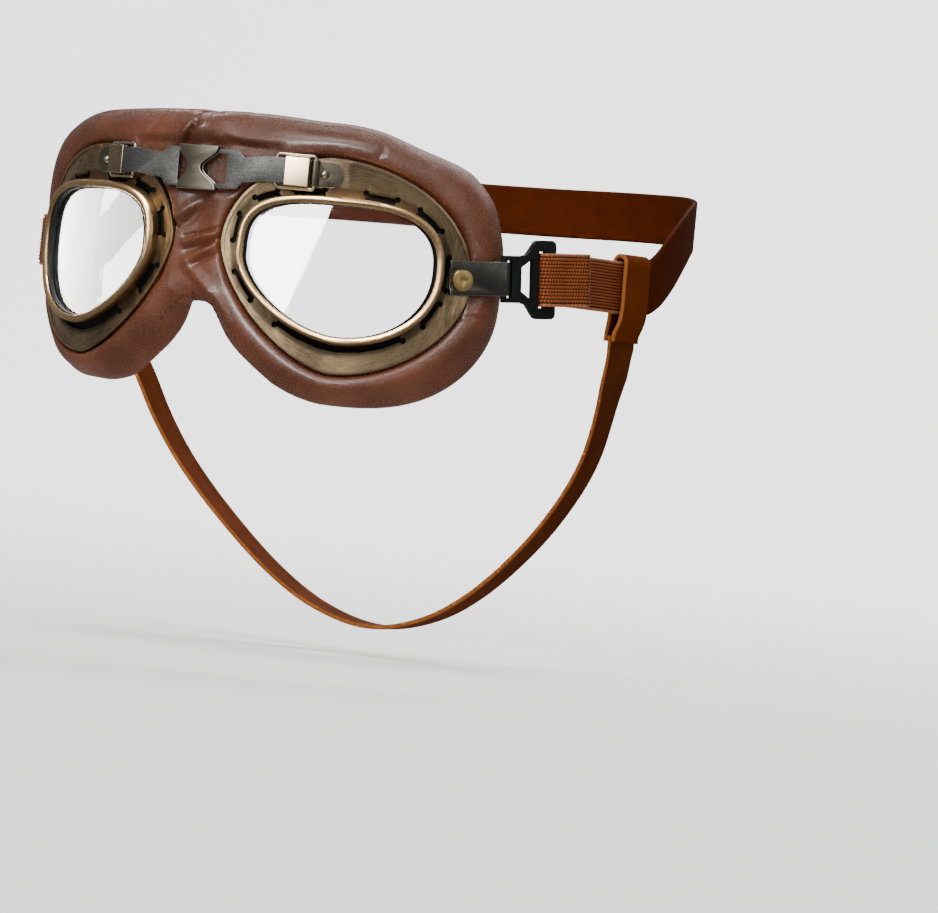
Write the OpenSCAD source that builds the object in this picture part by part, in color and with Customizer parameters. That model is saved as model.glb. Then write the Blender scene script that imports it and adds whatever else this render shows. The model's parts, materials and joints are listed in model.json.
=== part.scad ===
// Aviator goggles for a dog: two curved lenses in brass eyecups on a padded leather mask,
// a sliding bridge clip, buckles, an elastic head strap and a chin strap.
// Frame: +X to the wearer's left, +Y back over the head, +Z up.
// The origin is on the midplane, at the height of the lenses, between the two eye planes.

/* [Eyecup] */
// Distance from the midplane to the middle of an eye plane
eye_x = 44.4; // [43.5:0.1:46]
// Angle by which each eye plane turns back from straight ahead
wrap = 26.6; // [25:0.2:28]
// Radius of the curved lens, rim and flange
base_r = 106; // [100:1:120]
// Rim, from its centre to the nose side
rim_in = 34.5; // [34:0.1:35.4]
// Rim, from its centre to the temple side
rim_out = 32.1; // [31.4:0.1:32.8]
// Rim, from its centre to the top
rim_top = 21.3; // [20.6:0.1:21.8]
// Rim, from its centre to the bottom
rim_bottom = 26.9; // [26.2:0.1:27.4]
// Width of the rim's rolled bead
rim_w = 2.6; // [2.4:0.1:3]
// Height of the rim above the flange
rim_h = 4.5; // [4.2:0.1:5]
// Thickness of the lens
lens_t = 1.4; // [1.2:0.1:1.6]
// Depth of the lens face below the top of the rim
lens_recess = 3.2; // [2.8:0.1:3.4]
// Flange, from its centre to the nose side
flange_in = 38.6; // [38:0.1:39]
// Flange, from its centre to the temple side
flange_out = 44.2; // [43.6:0.1:44.8]
// Flange, from its centre to the top
flange_top = 33.2; // [32.8:0.1:34]
// Flange, from its centre to the bottom
flange_bottom = 36.6; // [36:0.1:37.2]
// Thickness of the flange's sheet
flange_t = 0.9; // [0.7:0.1:1]
// Height of the flange's rolled edge
edge_h = 0.45; // [0.3:0.05:0.6]
// Radial depth of a vent slot beyond the rim
vent_w = 2.2; // [1.8:0.1:2.4]
// Radius of the round ends of a vent slot
vent_r = 1; // [0.8:0.1:1.1]

/* [Mask] */
// Padded mask, from the eye's centre to the nose side
mask_in = 50; // [49:0.5:51]
// Padded mask, from the eye's centre to the temple side
mask_out = 59; // [58:0.5:60]
// Padded mask, from the eye's centre to the top
mask_top = 45.5; // [45:0.5:46.5]
// Padded mask, from the eye's centre to the bottom
mask_bottom = 47; // [46:0.5:48]
// Depth of the pad behind the flange
pad_depth = 15; // [13:0.5:17]
// Height of the pad's crown above the flange
crown = 1.2; // [0.6:0.1:1.6]
// Depth of the sewn darts in the roll
dart = 0.8; // [0.4:0.1:1.2]
// Radius of the cut between a pad and the nose leather
nose_r = 33.4; // [33:0.1:33.8]
// Height of the nose arch's top below the lens centre
arch_z = 13.8; // [12:0.2:15]

/* [Bridge] */
// Height of the bridge above the lens centre
bridge_z = 30.6; // [30.4:0.1:31]
// Height of the bridge arms
arm_h = 8.2; // [7.6:0.1:8.4]
// Thickness of the arms' sheet
arm_t = 1; // [0.8:0.1:1.1]
// Height of the arms' forked ends
fork_h = 12.8; // [12.4:0.1:13.4]
// Distance from the midplane to the left arm's forked face
fork_left = 9.9; // [9.6:0.1:10.2]
// Distance from the midplane to the right arm's forked face
fork_right = 8.4; // [8.2:0.1:8.8]
// How much lower the forked ends sit than the bands
arm_sag = 1; // [0:0.1:1.2]
// Width of the bridge clip
clip_w = 14.4; // [14:0.1:14.8]
// Wall of the bridge clip
clip_wall = 0.8; // [0.6:0.1:0.9]
// Depth of the curved cut in the clip's left side
cut_left = 6.2; // [5.6:0.1:6.4]
// Depth of the curved cut in the clip's right side
cut_right = 3.7; // [3.4:0.1:4]
// How far the clip sits off the midplane
clip_off = 0.7; // [0:0.1:0.8]
// Diameter of the wire loops
wire_d = 1.3; // [1.1:0.1:1.4]
// Length of a wire loop between its legs
loop_l = 12.6; // [12.4:0.1:13.4]
// Height of a wire loop between its legs
loop_h = 10.8; // [10.7:0.1:11]
// Width of the brass bands
band_w = 7.8; // [7:0.1:8]

/* [Strap] */
// Width of the head strap's webbing
strap_w = 17.8; // [17:0.2:18.6]
// Thickness of the webbing
strap_t = 1.6; // [1.4:0.1:1.8]
// Height of a strap tab
tab_h = 11.2; // [10.6:0.2:11.4]
// Length of a strap tab from its rivet to the buckle's pin
tab_l = 15.8; // [15.6:0.1:16.2]
// Thickness of a strap tab
tab_t = 1; // [0.8:0.1:1.1]
// Thickness of a buckle, and the diameter of its pin
buckle_t = 2.2; // [2:0.1:2.4]
// Length of a buckle from its pin to its strap bar's far edge
buckle_l = 19.6; // [19:0.1:20.4]
// Width of the bar that the webbing folds round
bar_w = 4.2; // [3.8:0.1:4.4]
// Height of the buckle's narrow end
buckle_narrow = 15.5; // [15.2:0.1:16.5]
// Height of the buckle's wide end
buckle_wide = 26; // [25:0.1:27]
// Diameter of a strap rivet's head
rivet_d = 8; // [7.4:0.1:8.4]
// Width of the chin strap
chin_w = 13.6; // [13:0.2:14.4]
// Thickness of the chin strap
chin_t = 1.5; // [1.3:0.1:1.6]

/* [Hidden] */

// Clearances: laid against, soft against hard, and running
seat_gap = 0.05;
soft_gap = 0.35;
run_gap = 0.06;

// Each outline: nose, temple, top and bottom half sizes, the corner powers from the
// temple's top round past the nose, the centre, and the droop towards the temple
RIM = [rim_in, rim_out, rim_top, rim_bottom, [2.65, 3.5, 1.65, 2.1], [4.2, 2.4], 0];
FLANGE = [flange_in, flange_out, flange_top, flange_bottom, [2.15, 1.85, 1.6, 1.7], [2.2, 3], -0.09];
MASK = [mask_in, mask_out, mask_top, mask_bottom, [2.45, 8, 1.8, 2.5], [2.2, 3], -0.03];

function power(x, p) = sign(x) * pow(abs(x), p);
// Point of an outline at angle t, moved out by r
function spot(o, t, r = 0) =
  let (c = cos(t), s = sin(t),
    a = (c < 0 ? o[0] : o[1]) + r,
    b = (s > 0 ? o[2] : o[3]) + r,
    n = o[4][s >= 0 ? (c >= 0 ? 0 : 1) : (c < 0 ? 2 : 3)],
    u = o[5][0] + a * power(c, 2 / n))
  [u, o[5][1] + b * power(s, 2 / n) + o[6] * u];
function outline(o, r, steps = 72) = [for (i = [0:steps - 1]) spot(o, i * 360 / steps, r)];

// From the curved eye surface, h in front of it, to the row's frame
function on_eye(u, v, h) =
  let (a = asin(u / base_r), x = (base_r + h) * sin(a), y = base_r - (base_r + h) * cos(a))
  [eye_x + x * cos(wrap) - y * sin(wrap), x * sin(wrap) + y * cos(wrap), v];
module eye_frame() { translate([eye_x, 0, 0]) rotate([0, 0, wrap]) children(); }
// The same for a point on a wall that stands square to the eye plane
function on_wall(p, h) = on_eye(p[0] * base_r / (base_r + h), p[1], h);
// Tangent frame at width u of the eye surface, x along it to the temple, y into the pad
module eye_spot(u, v) { translate(on_eye(u, v, 0)) rotate([0, 0, wrap + asin(u / base_r)]) children(); }
module right_side() { mirror([1, 0, 0]) children(); }

// Skins one closed ring of points per step; a closed row of rings joins its ends
module skin(rings, closed = false) {
  n = len(rings);
  m = len(rings[0]);
  steps = closed ? n : n - 1;
  walls = [for (i = [0:steps - 1], j = [0:m - 1])
    let (a = i * m, b = ((i + 1) % n) * m, k = (j + 1) % m)
    each [[a + j, a + k, b + k], [a + j, b + k, b + j]]];
  last = (n - 1) * m;
  caps = closed ? [] : [for (j = [1:m - 2]) each [[0, j + 1, j], [last, last + j, last + j + 1]]];
  polyhedron(points = [for (r = rings) each r], faces = concat(walls, caps), convexity = 8);
}

// Curved plate of an outline between two heights on the eye surface
module eye_plate(h0, h1, shape, hole = []) {
  reach = 80;
  eye_frame() intersection() {
    translate([0, base_r, -reach]) difference() {
      cylinder(r = base_r + h1, h = 2 * reach, $fn = 180);
      translate([0, 0, -1]) cylinder(r = base_r + h0, h = 2 * reach + 2, $fn = 180);
    }
    rotate([90, 0, 0]) translate([0, 0, -base_r / 2]) linear_extrude(base_r / 2 + 20) difference() {
      polygon(shape);
      if (len(hole) > 0) polygon(hole);
    }
  }
}
function unit(v) = v / norm(v);

// Levels of the eyecup's stack above the flange's front face
lens_front = rim_h - lens_recess;
lens_back = lens_front - lens_t;
lip_h = 0.7 * rim_h;
skirt_t = 0.8;
lens_in = skirt_t + 0.9;
gasket_show = 0.25;
cup_gap = 0.1;
edge_drop = 0.3;
pad_inset = 4.5;
tab_lie = 0.15;
tab_in = 4.6;
cup_back = -flange_t - seat_gap - 1.1;
cup_out = vent_w + vent_r + 0.5;
rivet_u = 42.9;
ball_u = -4.4;
tab_round = -2.5;

// Vent slots round the rim: middle angle and half spread
VENTS = [[41, 12], [77, 8], [101, 7], [127, 10], [168, 9], [205, 9.6], [270, 38], [332, 9], [359, 9]];

module vent_cut(mid, half) {
  steps = 6;
  arc = [for (i = [0:steps]) mid - half + 2 * half * i / steps];
  polygon(concat([for (t = arc) spot(RIM, t, -skirt_t - 1)],
    [for (i = [steps:-1:0]) spot(RIM, arc[i], vent_w)]));
  for (t = [mid - half, mid + half]) translate(spot(RIM, t, vent_w)) circle(r = vent_r, $fn = 24);
}
module rivet_hole(r) { rotate([90, 0, 0]) cylinder(r = r + seat_gap, h = 12, center = true, $fn = 32); }
// Cuts square to the eye plane, from drawings on it
beyond = 60;  // longer than whatever a cut or an outline crosses
module eye_cut() { eye_frame() rotate([90, 0, 0]) linear_extrude(beyond, center = true) children(); }
module flange() {
  flat = 1.5;
  color("#96826a") difference() {
    union() {
      eye_plate(-flange_t, 0, outline(FLANGE, 0), outline(RIM, -skirt_t));
      // Rolled edge, pressed flat under the two tabs
      difference() {
        eye_plate(-flange_t - edge_drop, edge_h, outline(FLANGE, 0), outline(FLANGE, -1));
        eye_cut() translate([rivet_u - flat, rivet_z + tab_z - tab_h / 2 - flat])
          square([tab_l, tab_h + 2 * flat]);
        eye_cut() translate([hinge_u - flat, bridge_z])
          square([tab_round - hinge_u + knuckle_h / 2 + 2 * flat, knuckle_h]);
      }
    }
    eye_cut() for (v = VENTS) vent_cut(v[0], v[1]);
    eye_spot(rivet_u, rivet_z) rivet_hole(shank_r);
    eye_spot(ball_u, bridge_z) rivet_hole(pip_r);
  }
}
module vent_ring() {
  color("#1c1b19") union() {
    eye_plate(cup_back, lens_back - seat_gap, outline(RIM, -skirt_t - cup_gap), outline(RIM, -rim_w - 0.2));
    eye_plate(cup_back, -flange_t - seat_gap, outline(RIM, cup_out), outline(RIM, -rim_w - 0.2));
  }
}
module lens() {
  color("#d8dcdc", 0.35) eye_plate(lens_back, lens_front, outline(RIM, -lens_in));
}
module lens_gasket() {
  color("#141414") union() {
    eye_plate(lens_back, lip_h - seat_gap, outline(RIM, -skirt_t - seat_gap),
      outline(RIM, -lens_in + seat_gap));
    eye_plate(lens_front + seat_gap, lip_h - seat_gap, outline(RIM, -skirt_t - 2 * seat_gap),
      outline(RIM, -rim_w - gasket_show));
  }
}
module lens_rim() {
  top = rim_h;
  profile = [[0, seat_gap], [0, top * 0.62], [-0.1 * rim_w, top * 0.83], [-0.3 * rim_w, top * 0.97],
    [-0.52 * rim_w, top], [-0.76 * rim_w, top * 0.95], [-0.93 * rim_w, top * 0.83], [-rim_w, lip_h + 0.35],
    [-rim_w, lip_h], [-skirt_t, lip_h], [-skirt_t, seat_gap]];
  steps = 72;
  color("#af966e") skin([for (i = [0:steps - 1]) [for (p = profile)
    let (s = spot(RIM, -i * 360 / steps, p[0])) on_eye(s[0], s[1], p[1])]], closed = true);
}

// The bridge's hinge: the outer leg of the wire loop, in the tab's rolled eye
hinge_u = -7.4;
hinge_h = 2;
HINGE = on_eye(hinge_u, 0, hinge_h);
link_turn = 24;
function link(s, f) = [HINGE[0] - s * cos(link_turn) + f * sin(link_turn),
  HINGE[1] - s * sin(link_turn) - f * cos(link_turn)];
wire_r = wire_d / 2;
eye_wall = 0.7;
arm_front = wire_r + run_gap + eye_wall;
knuckle_h = arm_h + 0.4;
arm_bite = 0.3;

// Pulls a point back to the cut round the hinge that parts a pad from the nose leather
function cut_back(p, r) =
  let (d = [p[0] - HINGE[0], p[1] - HINGE[1]], l = norm(d))
  p[0] < HINGE[0] && l > r ? [HINGE[0] + d[0] * r / l, HINGE[1] + d[1] * r / l, p[2]] : p;
DARTS = [35, 55, 75, 100];
function dart_at(t) = len([for (d = DARTS) if (abs(d - t) < 0.1) d]) > 0 ? dart : 0;
// Keeps the roll low under the strap tab
function tab_dip(t) = exp(-pow((t > 180 ? t - 360 : t) / 14, 2));
// Keeps the roll behind the bridge clip and arms
function bridge_dip(t) = exp(-pow((t - 152) / 22, 2));
// Slopes the roll back over the cheek
cheek_drop = 3;
function cheek(t) = cheek_drop * exp(-pow((t - 318) / 27, 2));
// Section of the roll: how far from the flange to the mask's outline, and the height
function roll(t) =
  let (d = dart_at(t), dip = tab_dip(t), low = bridge_dip(t), back = cheek(t),
    top = crown * (1 - dip) - 0.5 * dip)
  [[0.07, -0.7 - 1.9 * low], [0.2, top - d - 4.8 * low - 0.15 * back],
   [0.45, top - 0.3 - d - 0.5 * dip - 4 * low - 0.55 * back], [0.7, top - 2 - d - dip - low - back],
   [0.9, -5 - dip - back], [1 - 0.04 * d, -0.55 * pad_depth - 0.6 * back],
   [0.88, -0.82 * pad_depth - 0.2 * back], [0.5, -pad_depth]];
function pad_ring(t) =
  let (f = spot(FLANGE, t), m = spot(MASK, t), back = spot(RIM, t, pad_inset),
    low = -flange_t - edge_drop - soft_gap)
  concat([on_wall(spot(RIM, t, cup_out + soft_gap), low), on_wall(spot(FLANGE, t, soft_gap), low)],
    [for (q = roll(t)) let (w = f + (m - f) * q[0]) on_eye(w[0], w[1], q[1])],
    [on_eye(f[0], f[1], -pad_depth - 0.8), on_eye(back[0], back[1], 1.5 - pad_depth),
     on_eye(back[0], back[1], -0.45 * pad_depth)]);
module cushion() {
  steps = 72;
  color("#70423a") skin([for (i = [0:steps - 1]) [for (p = pad_ring((steps - i) * 360 / steps % 360))
    cut_back(p, nose_r)]], closed = true);
}

// Nose leather between the two pads, from the arch up to the top of the mask
function nose_side(y) = HINGE[0] - sqrt(pow(nose_r + soft_gap, 2) - pow(y - HINGE[1], 2));
// Stations of the nose leather: height, front and back
crest = mask_top + 2.6;
NOSE = [[-arch_z, -8.4, -4], [-arch_z + 1.4, -10.2, -2.6], [-arch_z + 5, -11, -1.4], [-3, -11.2, -0.4],
  [6, -10.8, 0.4], [15, -10.2, 1], [bridge_z - 8, -9.7, 1.6], [bridge_z, -9.6, 2], [bridge_z + 6, -9.8, 2.4],
  [crest - 8, -10.9, 2.8], [crest - 5.4, -11.6, 2.6], [crest - 2.8, -10.8, 1.8], [crest - 0.9, -8.8, 0.2],
  [crest, -6, -2]];
function nose_ring(q) =
  let (z = q[0], f = q[1], b = q[2], crease = z > crest - 9 ? dart : 0, side = [f + 0.4, (f + b) / 2, b])
  concat([for (k = [-1:0.5:1]) [k * nose_side(side[0]), f + (k == 0 ? crease : abs(k) == 1 ? 0.4 : 0), z]],
    [[nose_side(side[1]), side[1], z]],
    [for (k = [1:-0.5:-1]) [k * nose_side(side[2]), b, z]],
    [[-nose_side(side[1]), side[1], z]]);
module nose_leather() {
  color("#74453c") skin([for (q = NOSE) nose_ring(q)]);
}

// Rivets
shank_r = 1.5;
pip_r = 0.9;
dome_r = 1.35;
head_t = 1;
tail_t = 0.6;
dimple_r = 0.85;
rivet_z = 0.7;
module strap_rivet() {
  color("#d2b886") eye_spot(rivet_u, rivet_z) {
    rotate([90, 0, 0]) difference() {
      union() {
        translate([0, 0, tab_t + 2 * seat_gap])
          cylinder(r1 = rivet_d / 2, r2 = rivet_d / 2 - 0.5, h = head_t, $fn = 48);
        translate([0, 0, -flange_t - tail_t]) cylinder(r = shank_r, h = flange_t + tab_t + head_t, $fn = 32);
      }
      translate([0, 0, tab_t + head_t - 0.25]) cylinder(r = dimple_r, h = 2, $fn = 24);
    }
  }
}
module bridge_rivet() {
  color("#b9a682") eye_spot(ball_u, bridge_z) rotate([90, 0, 0]) union() {
    translate([0, 0, -flange_t - tail_t])
      cylinder(r = pip_r, h = flange_t + arm_t + tail_t + dome_r / 2, $fn = 24);
    intersection() {
      translate([0, 0, arm_t + 0.75]) sphere(r = dome_r, $fn = 32);
      translate([-dome_r, -dome_r, tab_lie + arm_t + seat_gap]) cube(2 * dome_r);
    }
  }
}

// Bridge tab: a round-ended strip on the flange, rolled round the wire loop's outer leg
module bridge_tab_face() {
  translate([tab_round - ball_u, 0]) circle(r = knuckle_h / 2, $fn = 48);
  translate([hinge_u - ball_u, -knuckle_h / 2]) square([tab_round - hinge_u, knuckle_h]);
}
module bridge_tab() {
  knuckle = wire_r + run_gap;
  color("#5c5b57") difference() {
    union() {
      eye_spot(ball_u, bridge_z) rotate([90, 0, 0]) translate([0, 0, tab_lie]) linear_extrude(arm_t)
        bridge_tab_face();
      translate([HINGE[0], HINGE[1], bridge_z - knuckle_h / 2])
        cylinder(r = knuckle + eye_wall, h = knuckle_h, $fn = 36);
    }
    translate([HINGE[0], HINGE[1], bridge_z - arm_h]) cylinder(r = knuckle, h = 2 * arm_h, $fn = 36);
    eye_spot(ball_u, bridge_z) rivet_hole(pip_r);
  }
}
// Wire loop with bent corners: its outer leg is the eyecup's hinge pin, its inner leg holds the arm
module bridge_loop() {
  bend_r = 1;
  l = loop_l - 2 * bend_r;
  h = loop_h - 2 * bend_r;
  color("#8f8672") translate([HINGE[0], HINGE[1], bridge_z]) rotate([90, 0, link_turn + 180])
    translate([loop_l / 2, 0, 0]) union() {
      for (s = [-1, 1]) {
        translate([s * loop_l / 2, 0, 0]) rotate([90, 0, 0]) cylinder(r = wire_r, h = h, center = true, $fn = 32);
        translate([0, s * loop_h / 2, 0]) rotate([0, 90, 0]) cylinder(r = wire_r, h = l, center = true, $fn = 32);
      }
      for (c = [[1, 1, 0], [-1, 1, 90], [-1, -1, 180], [1, -1, 270]])
        translate([c[0] * l / 2, c[1] * h / 2, 0]) rotate([0, 0, c[2]])
          rotate_extrude(angle = 90, $fn = 32) translate([bend_r, 0]) circle(r = wire_r, $fn = 32);
    }
}
module bridge_band() {
  inner = arm_t + 2 * seat_gap;
  mid = arm_front + arm_t / 2;
  start = link(1.9 + band_w, 0);
  color("#e0cfae") translate([start[0], start[1], bridge_z]) rotate([0, 0, link_turn]) translate([0, -mid, 0])
    difference() {
      translate([0, -inner / 2 - 0.5, -arm_h / 2 - 0.55]) cube([band_w, inner + 1, arm_h + 1.1]);
      translate([-1, -inner / 2, -arm_h / 2 - seat_gap]) cube([band_w + 2, inner, arm_h + 2 * seat_gap]);
    }
}

// Bridge arm: a sheet strip with a forked end for the clip and a rolled eye behind it
fork_y = -12.4;
fork_w = 4;
prong_h = 1.4;
prong_l = 5.6;
sag_x = 24;
module arm_plan(fork) {
  a = [fork - prong_l, fork_y];
  b = [fork + fork_w + 1.5, fork_y];
  c = link(loop_l + 1.2, arm_front + arm_t / 2);
  d = link(2.1, arm_front + arm_t / 2);
  half = arm_t / 2;
  up = [-sin(link_turn), cos(link_turn)] * half;
  bend = atan2(c[1] - b[1], c[0] - b[0]) / 2;
  at_b = [-tan(bend) * half, half];
  mid = (2 * bend + link_turn) / 2;
  at_c = [-sin(mid), cos(mid)] * half / cos(link_turn - mid);
  polygon([a - [0, half], b - at_b, c - at_c, d - up, d + up, c + at_c, b + at_b, a + [0, half]]);
}
module arm_face(fork) {
  h = fork_h / 2;
  low = arm_h / 2;
  neck = fork + fork_w + h - low;
  difference() {
    polygon([[fork - prong_l, -h - arm_sag], [fork + fork_w, -h - arm_sag], [neck, -low - arm_sag],
      [sag_x, -low], [beyond, -low], [beyond, low], [sag_x, low], [neck, low - arm_sag],
      [fork + fork_w, h - arm_sag], [fork - prong_l, h - arm_sag]]);
    translate([fork - prong_l - 1, -h + prong_h - arm_sag]) square([prong_l + 1, 2 * (h - prong_h)]);
  }
}
module bridge_arm(fork) {
  leg = link(loop_l, 0);
  color("#5f5f5c") difference() {
    union() {
      intersection() {
        translate([0, 0, bridge_z]) linear_extrude(beyond, center = true) arm_plan(fork);
        translate([0, 0, bridge_z]) rotate([90, 0, 0]) linear_extrude(beyond, center = true) arm_face(fork);
      }
      translate([leg[0], leg[1], bridge_z - arm_h / 2])
        cylinder(r = arm_front + arm_bite, h = arm_h, $fn = 36);
    }
    translate([leg[0], leg[1], bridge_z - arm_h]) cylinder(r = wire_r + run_gap, h = 2 * arm_h, $fn = 36);
  }
}
// Waist of the clip: a curve that is deepest at the middle of each side
module clip_side(depth, h) {
  steps = 12;
  polygon(concat([[2, -h]], [[2, h]], [for (i = [steps:-1:0]) let (z = -1 + 2 * i / steps)
    [-depth * (1 + cos(180 * z)) / 2, z * h]]));
}
module bridge_clip() {
  gap = 0.1;
  inner_h = fork_h + 2 * gap;
  inner_t = arm_t + 2 * gap;
  outer_h = inner_h + 2 * clip_wall;
  outer_t = inner_t + 2 * clip_wall;
  color("#55534a") translate([-clip_off, fork_y, bridge_z - arm_sag]) difference() {
    cube([clip_w, outer_t, outer_h], center = true);
    cube([clip_w + 2, inner_t, inner_h], center = true);
    rotate([90, 0, 0]) linear_extrude(outer_t + 2, center = true) {
      translate([clip_w / 2, 0]) clip_side(cut_left, inner_h / 2);
      translate([-clip_w / 2, 0]) mirror([1, 0]) clip_side(cut_right, inner_h / 2);
    }
  }
}

// Strap tab, buckle and their frames: the tab leaves the flange along its surface and rises a little
lift = 4.5;
tab_z = 0.8;
module tab_frame() { eye_spot(rivet_u, rivet_z) rotate([0, -lift, 0]) children(); }
pin_r = buckle_t / 2;
roll_r = pin_r + run_gap;
horn_h = 1.1;
horn_w = 2;
pin_back = roll_r - 2 * seat_gap;
module strap_tab() {
  color("#4b4c48") difference() {
    tab_frame() union() {
      translate([-tab_in, -tab_t - 2 * seat_gap, tab_z - tab_h / 2]) cube([tab_in + tab_l, tab_t, tab_h]);
      for (s = [-1, 1]) translate([-tab_in, -tab_t - horn_h, tab_z + s * (tab_h - horn_w) / 2 - horn_w / 2])
        cube([0.8, 1.4, horn_w]);
      translate([tab_l, pin_back, tab_z - tab_h / 2]) cylinder(r = roll_r + tab_t, h = tab_h, $fn = 40);
    }
    tab_frame() translate([tab_l, pin_back, tab_z - tab_h]) cylinder(r = roll_r, h = 2 * tab_h, $fn = 40);
    eye_spot(rivet_u, rivet_z) rivet_hole(shank_r);
  }
}
buckle_turn = 8;
module buckle_frame() {
  tab_frame() translate([tab_l, pin_back, tab_z]) rotate([0, 0, buckle_turn]) children();
}
slot_in = roll_r + tab_t + 0.4;
bar_x = buckle_l - bar_w;
module buckle() {
  n = buckle_narrow / 2;
  w = buckle_wide / 2;
  flare = 6.9;
  wide = 12.4;
  slot_h = tab_h / 2 + 0.5;
  web_h = strap_w / 2 + 0.4;
  color("#15181a") buckle_frame() union() {
    rotate([90, 0, 0]) linear_extrude(buckle_t, center = true) difference() {
      half = [[0, n], [flare, n], [flare + 1.6, n + 0.6], [wide - 1.7, w - 1.6], [wide - 0.7, w - 0.4],
        [wide + 0.5, w], [buckle_l - 1.5, w], [buckle_l - 0.4, w - 0.5], [buckle_l, w - 1.6]];
      polygon(concat(half, [for (i = [len(half) - 1:-1:0]) [half[i][0], -half[i][1]]]));
      translate([-1, -slot_h]) square([1 + slot_in, 2 * slot_h]);
      translate([bar_x - 2.4, -web_h]) square([2.4, 2 * web_h]);
      polygon([[6.2, -4], [10.6, -7], [10.6, 7], [6.2, 4]]);
    }
    translate([0, 0, -n]) cylinder(r = pin_r, h = 2 * n, $fn = 40);
  }
}

// Routes of the straps. The left half of each is given; the right half mirrors it.
STRAP = [[100.9, 63], [103.1, 74], [105.1, 86], [107.3, 99]];
strap_z = 4.6;
BAND = [[107.3, 99.4, 4.6], [108.8, 106, 5.2], [109.8, 115, 10], [109.7, 127, 19.4], [107.9, 139, 26.5],
  [104, 151, 29.5], [97, 165, 31], [86, 180, 32.5], [69, 196, 33.5], [48, 207, 34], [24, 213.5, 34],
  [0, 215.5, 34]];
CHIN = [[99.6, 108.2, -24.5], [93.5, 117.5, -34.5], [85.8, 124.5, -53.5], [76, 129, -69.5], [61, 134, -87],
  [41.5, 138, -104.5], [22, 140.5, -116], [0, 141.5, -121]];

// A smooth curve through the points, in equal steps between each pair
function curve(p, k) = concat([for (i = [0:len(p) - 2], j = [0:k - 1])
  let (a = p[max(i - 1, 0)], b = p[i], c = p[i + 1], d = p[min(i + 2, len(p) - 1)], s = j / k)
  0.5 * ((2 * b) + (c - a) * s + (2 * a - 5 * b + 4 * c - d) * s * s + (3 * b - a - 3 * c + d) * s * s * s)],
  [p[len(p) - 1]]);
function mirrored(p) = concat(p, [for (i = [len(p) - 2:-1:0]) [-p[i][0], p[i][1], p[i][2]]]);
// Band section with eased corners, as shares of its width and thickness
BAND_FACE = [[-0.5, -0.36], [-0.5, 0.36], [-0.46, 0.5], [0.46, 0.5], [0.5, 0.36], [0.5, -0.36], [0.46, -0.5],
  [-0.46, -0.5]];
// Ribbon w wide and t thick along points, its width as near as it can be to each point's side
module ribbon(p, w, t, sides) {
  m = len(p);
  skin([for (i = [0:m - 1])
    let (d = unit(p[min(i + 1, m - 1)] - p[max(i - 1, 0)]), e = unit(sides[i] - d * (sides[i] * d)),
      n = cross(d, e))
    [for (c = BAND_FACE) p[i] + e * (w * c[0]) + n * (t * c[1])]]);
}
UP = [0, 0, 1];
function same(v, p) = [for (q = p) v];

// The webbing's front end lies over the strap bar and turns back round it through the slot
function buckle_spot(x, y, z = 0) =
  let (o = on_eye(rivet_u, rivet_z, 0), yaw = wrap + asin(rivet_u / base_r),
    bx = tab_l + x * cos(buckle_turn) - y * sin(buckle_turn),
    by = pin_back + x * sin(buckle_turn) + y * cos(buckle_turn), bz = tab_z + z,
    lx = bx * cos(lift) - bz * sin(lift), lz = bx * sin(lift) + bz * cos(lift))
  [o[0] + lx * cos(yaw) - by * sin(yaw), o[1] + lx * sin(yaw) + by * cos(yaw), o[2] + lz];
module elastic() {
  off = pin_r + soft_gap + strap_t / 2;
  close = strap_t / 2 + 0.1;
  turn = bar_x - soft_gap - strap_t / 2;
  end = buckle_l + 13;
  front = [[end, -close - 0.4], [end - 4, -close - 0.3], [buckle_l + 4, -close - 0.2], [buckle_l + 0.5, -off],
    [buckle_l - 2, -off], [bar_x + 0.8, -off], [turn + 0.35, -off * 0.72], [turn, 0],
    [turn + 0.35, off * 0.72], [bar_x + 0.8, off], [buckle_l - 2, off], [buckle_l + 0.5, off],
    [buckle_l + 4, close]];
  back = curve(concat([buckle_spot(buckle_l + 7, close)], [for (q = STRAP) [q[0], q[1], strap_z]]), 3);
  // Its width follows the tilted buckle, then turns upright
  tilt = buckle_spot(0, 0, 1) - buckle_spot(0, 0, 0);
  sides = concat(same(tilt, front), [for (i = [1:len(back)]) tilt + (UP - tilt) * (i / len(back))]);
  color("#96501f") ribbon(concat([for (q = front) buckle_spot(q[0], q[1])], back), strap_w, strap_t, sides);
}
module head_band() {
  route = curve(mirrored(BAND), 2);
  color("#3c1c0c") ribbon(route, strap_w, strap_t, same(UP, route));
}

// Chin loop: a leather strip folded over the head strap, its two ends sewn to the chin webbing
loop_turn = 76;
LOOP_AT = [106.9, 97.5];
loop_w = chin_w + 0.2;
loop_t = 1.4;
lap_gap = 0.25;
lap_in = 1.6;
lap_low = -13.5;
lap_top = -11.2;
// Point of the loop's frame: s along the strap, f outwards, z up
function loop_spot(s, f, z) = [LOOP_AT[0] + s * cos(loop_turn) + f * sin(loop_turn),
  LOOP_AT[1] + s * sin(loop_turn) - f * cos(loop_turn), z];
module chin_loop() {
  side = strap_t / 2 + 1 + loop_t / 2;
  tail = chin_t / 2 + lap_gap + loop_t / 2;
  top = strap_z + strap_w / 2 - 0.6;
  low = strap_z - strap_w / 2 - 0.4;
  arch = [for (a = [0:30:180]) [side * cos(a), top + side * sin(a)]];
  path = concat([[tail - lap_in, lap_low], [tail - lap_in, lap_top], [side, low], [side, top - 4]], arch,
    [[-side, top - 4], [-side, low], [-tail - lap_in, lap_top], [-tail - lap_in, lap_low]]);
  color("#7a4217") ribbon([for (q = path) loop_spot(0, q[0], q[1])], loop_w, loop_t,
    same([cos(loop_turn), sin(loop_turn), 0], path));
}
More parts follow.
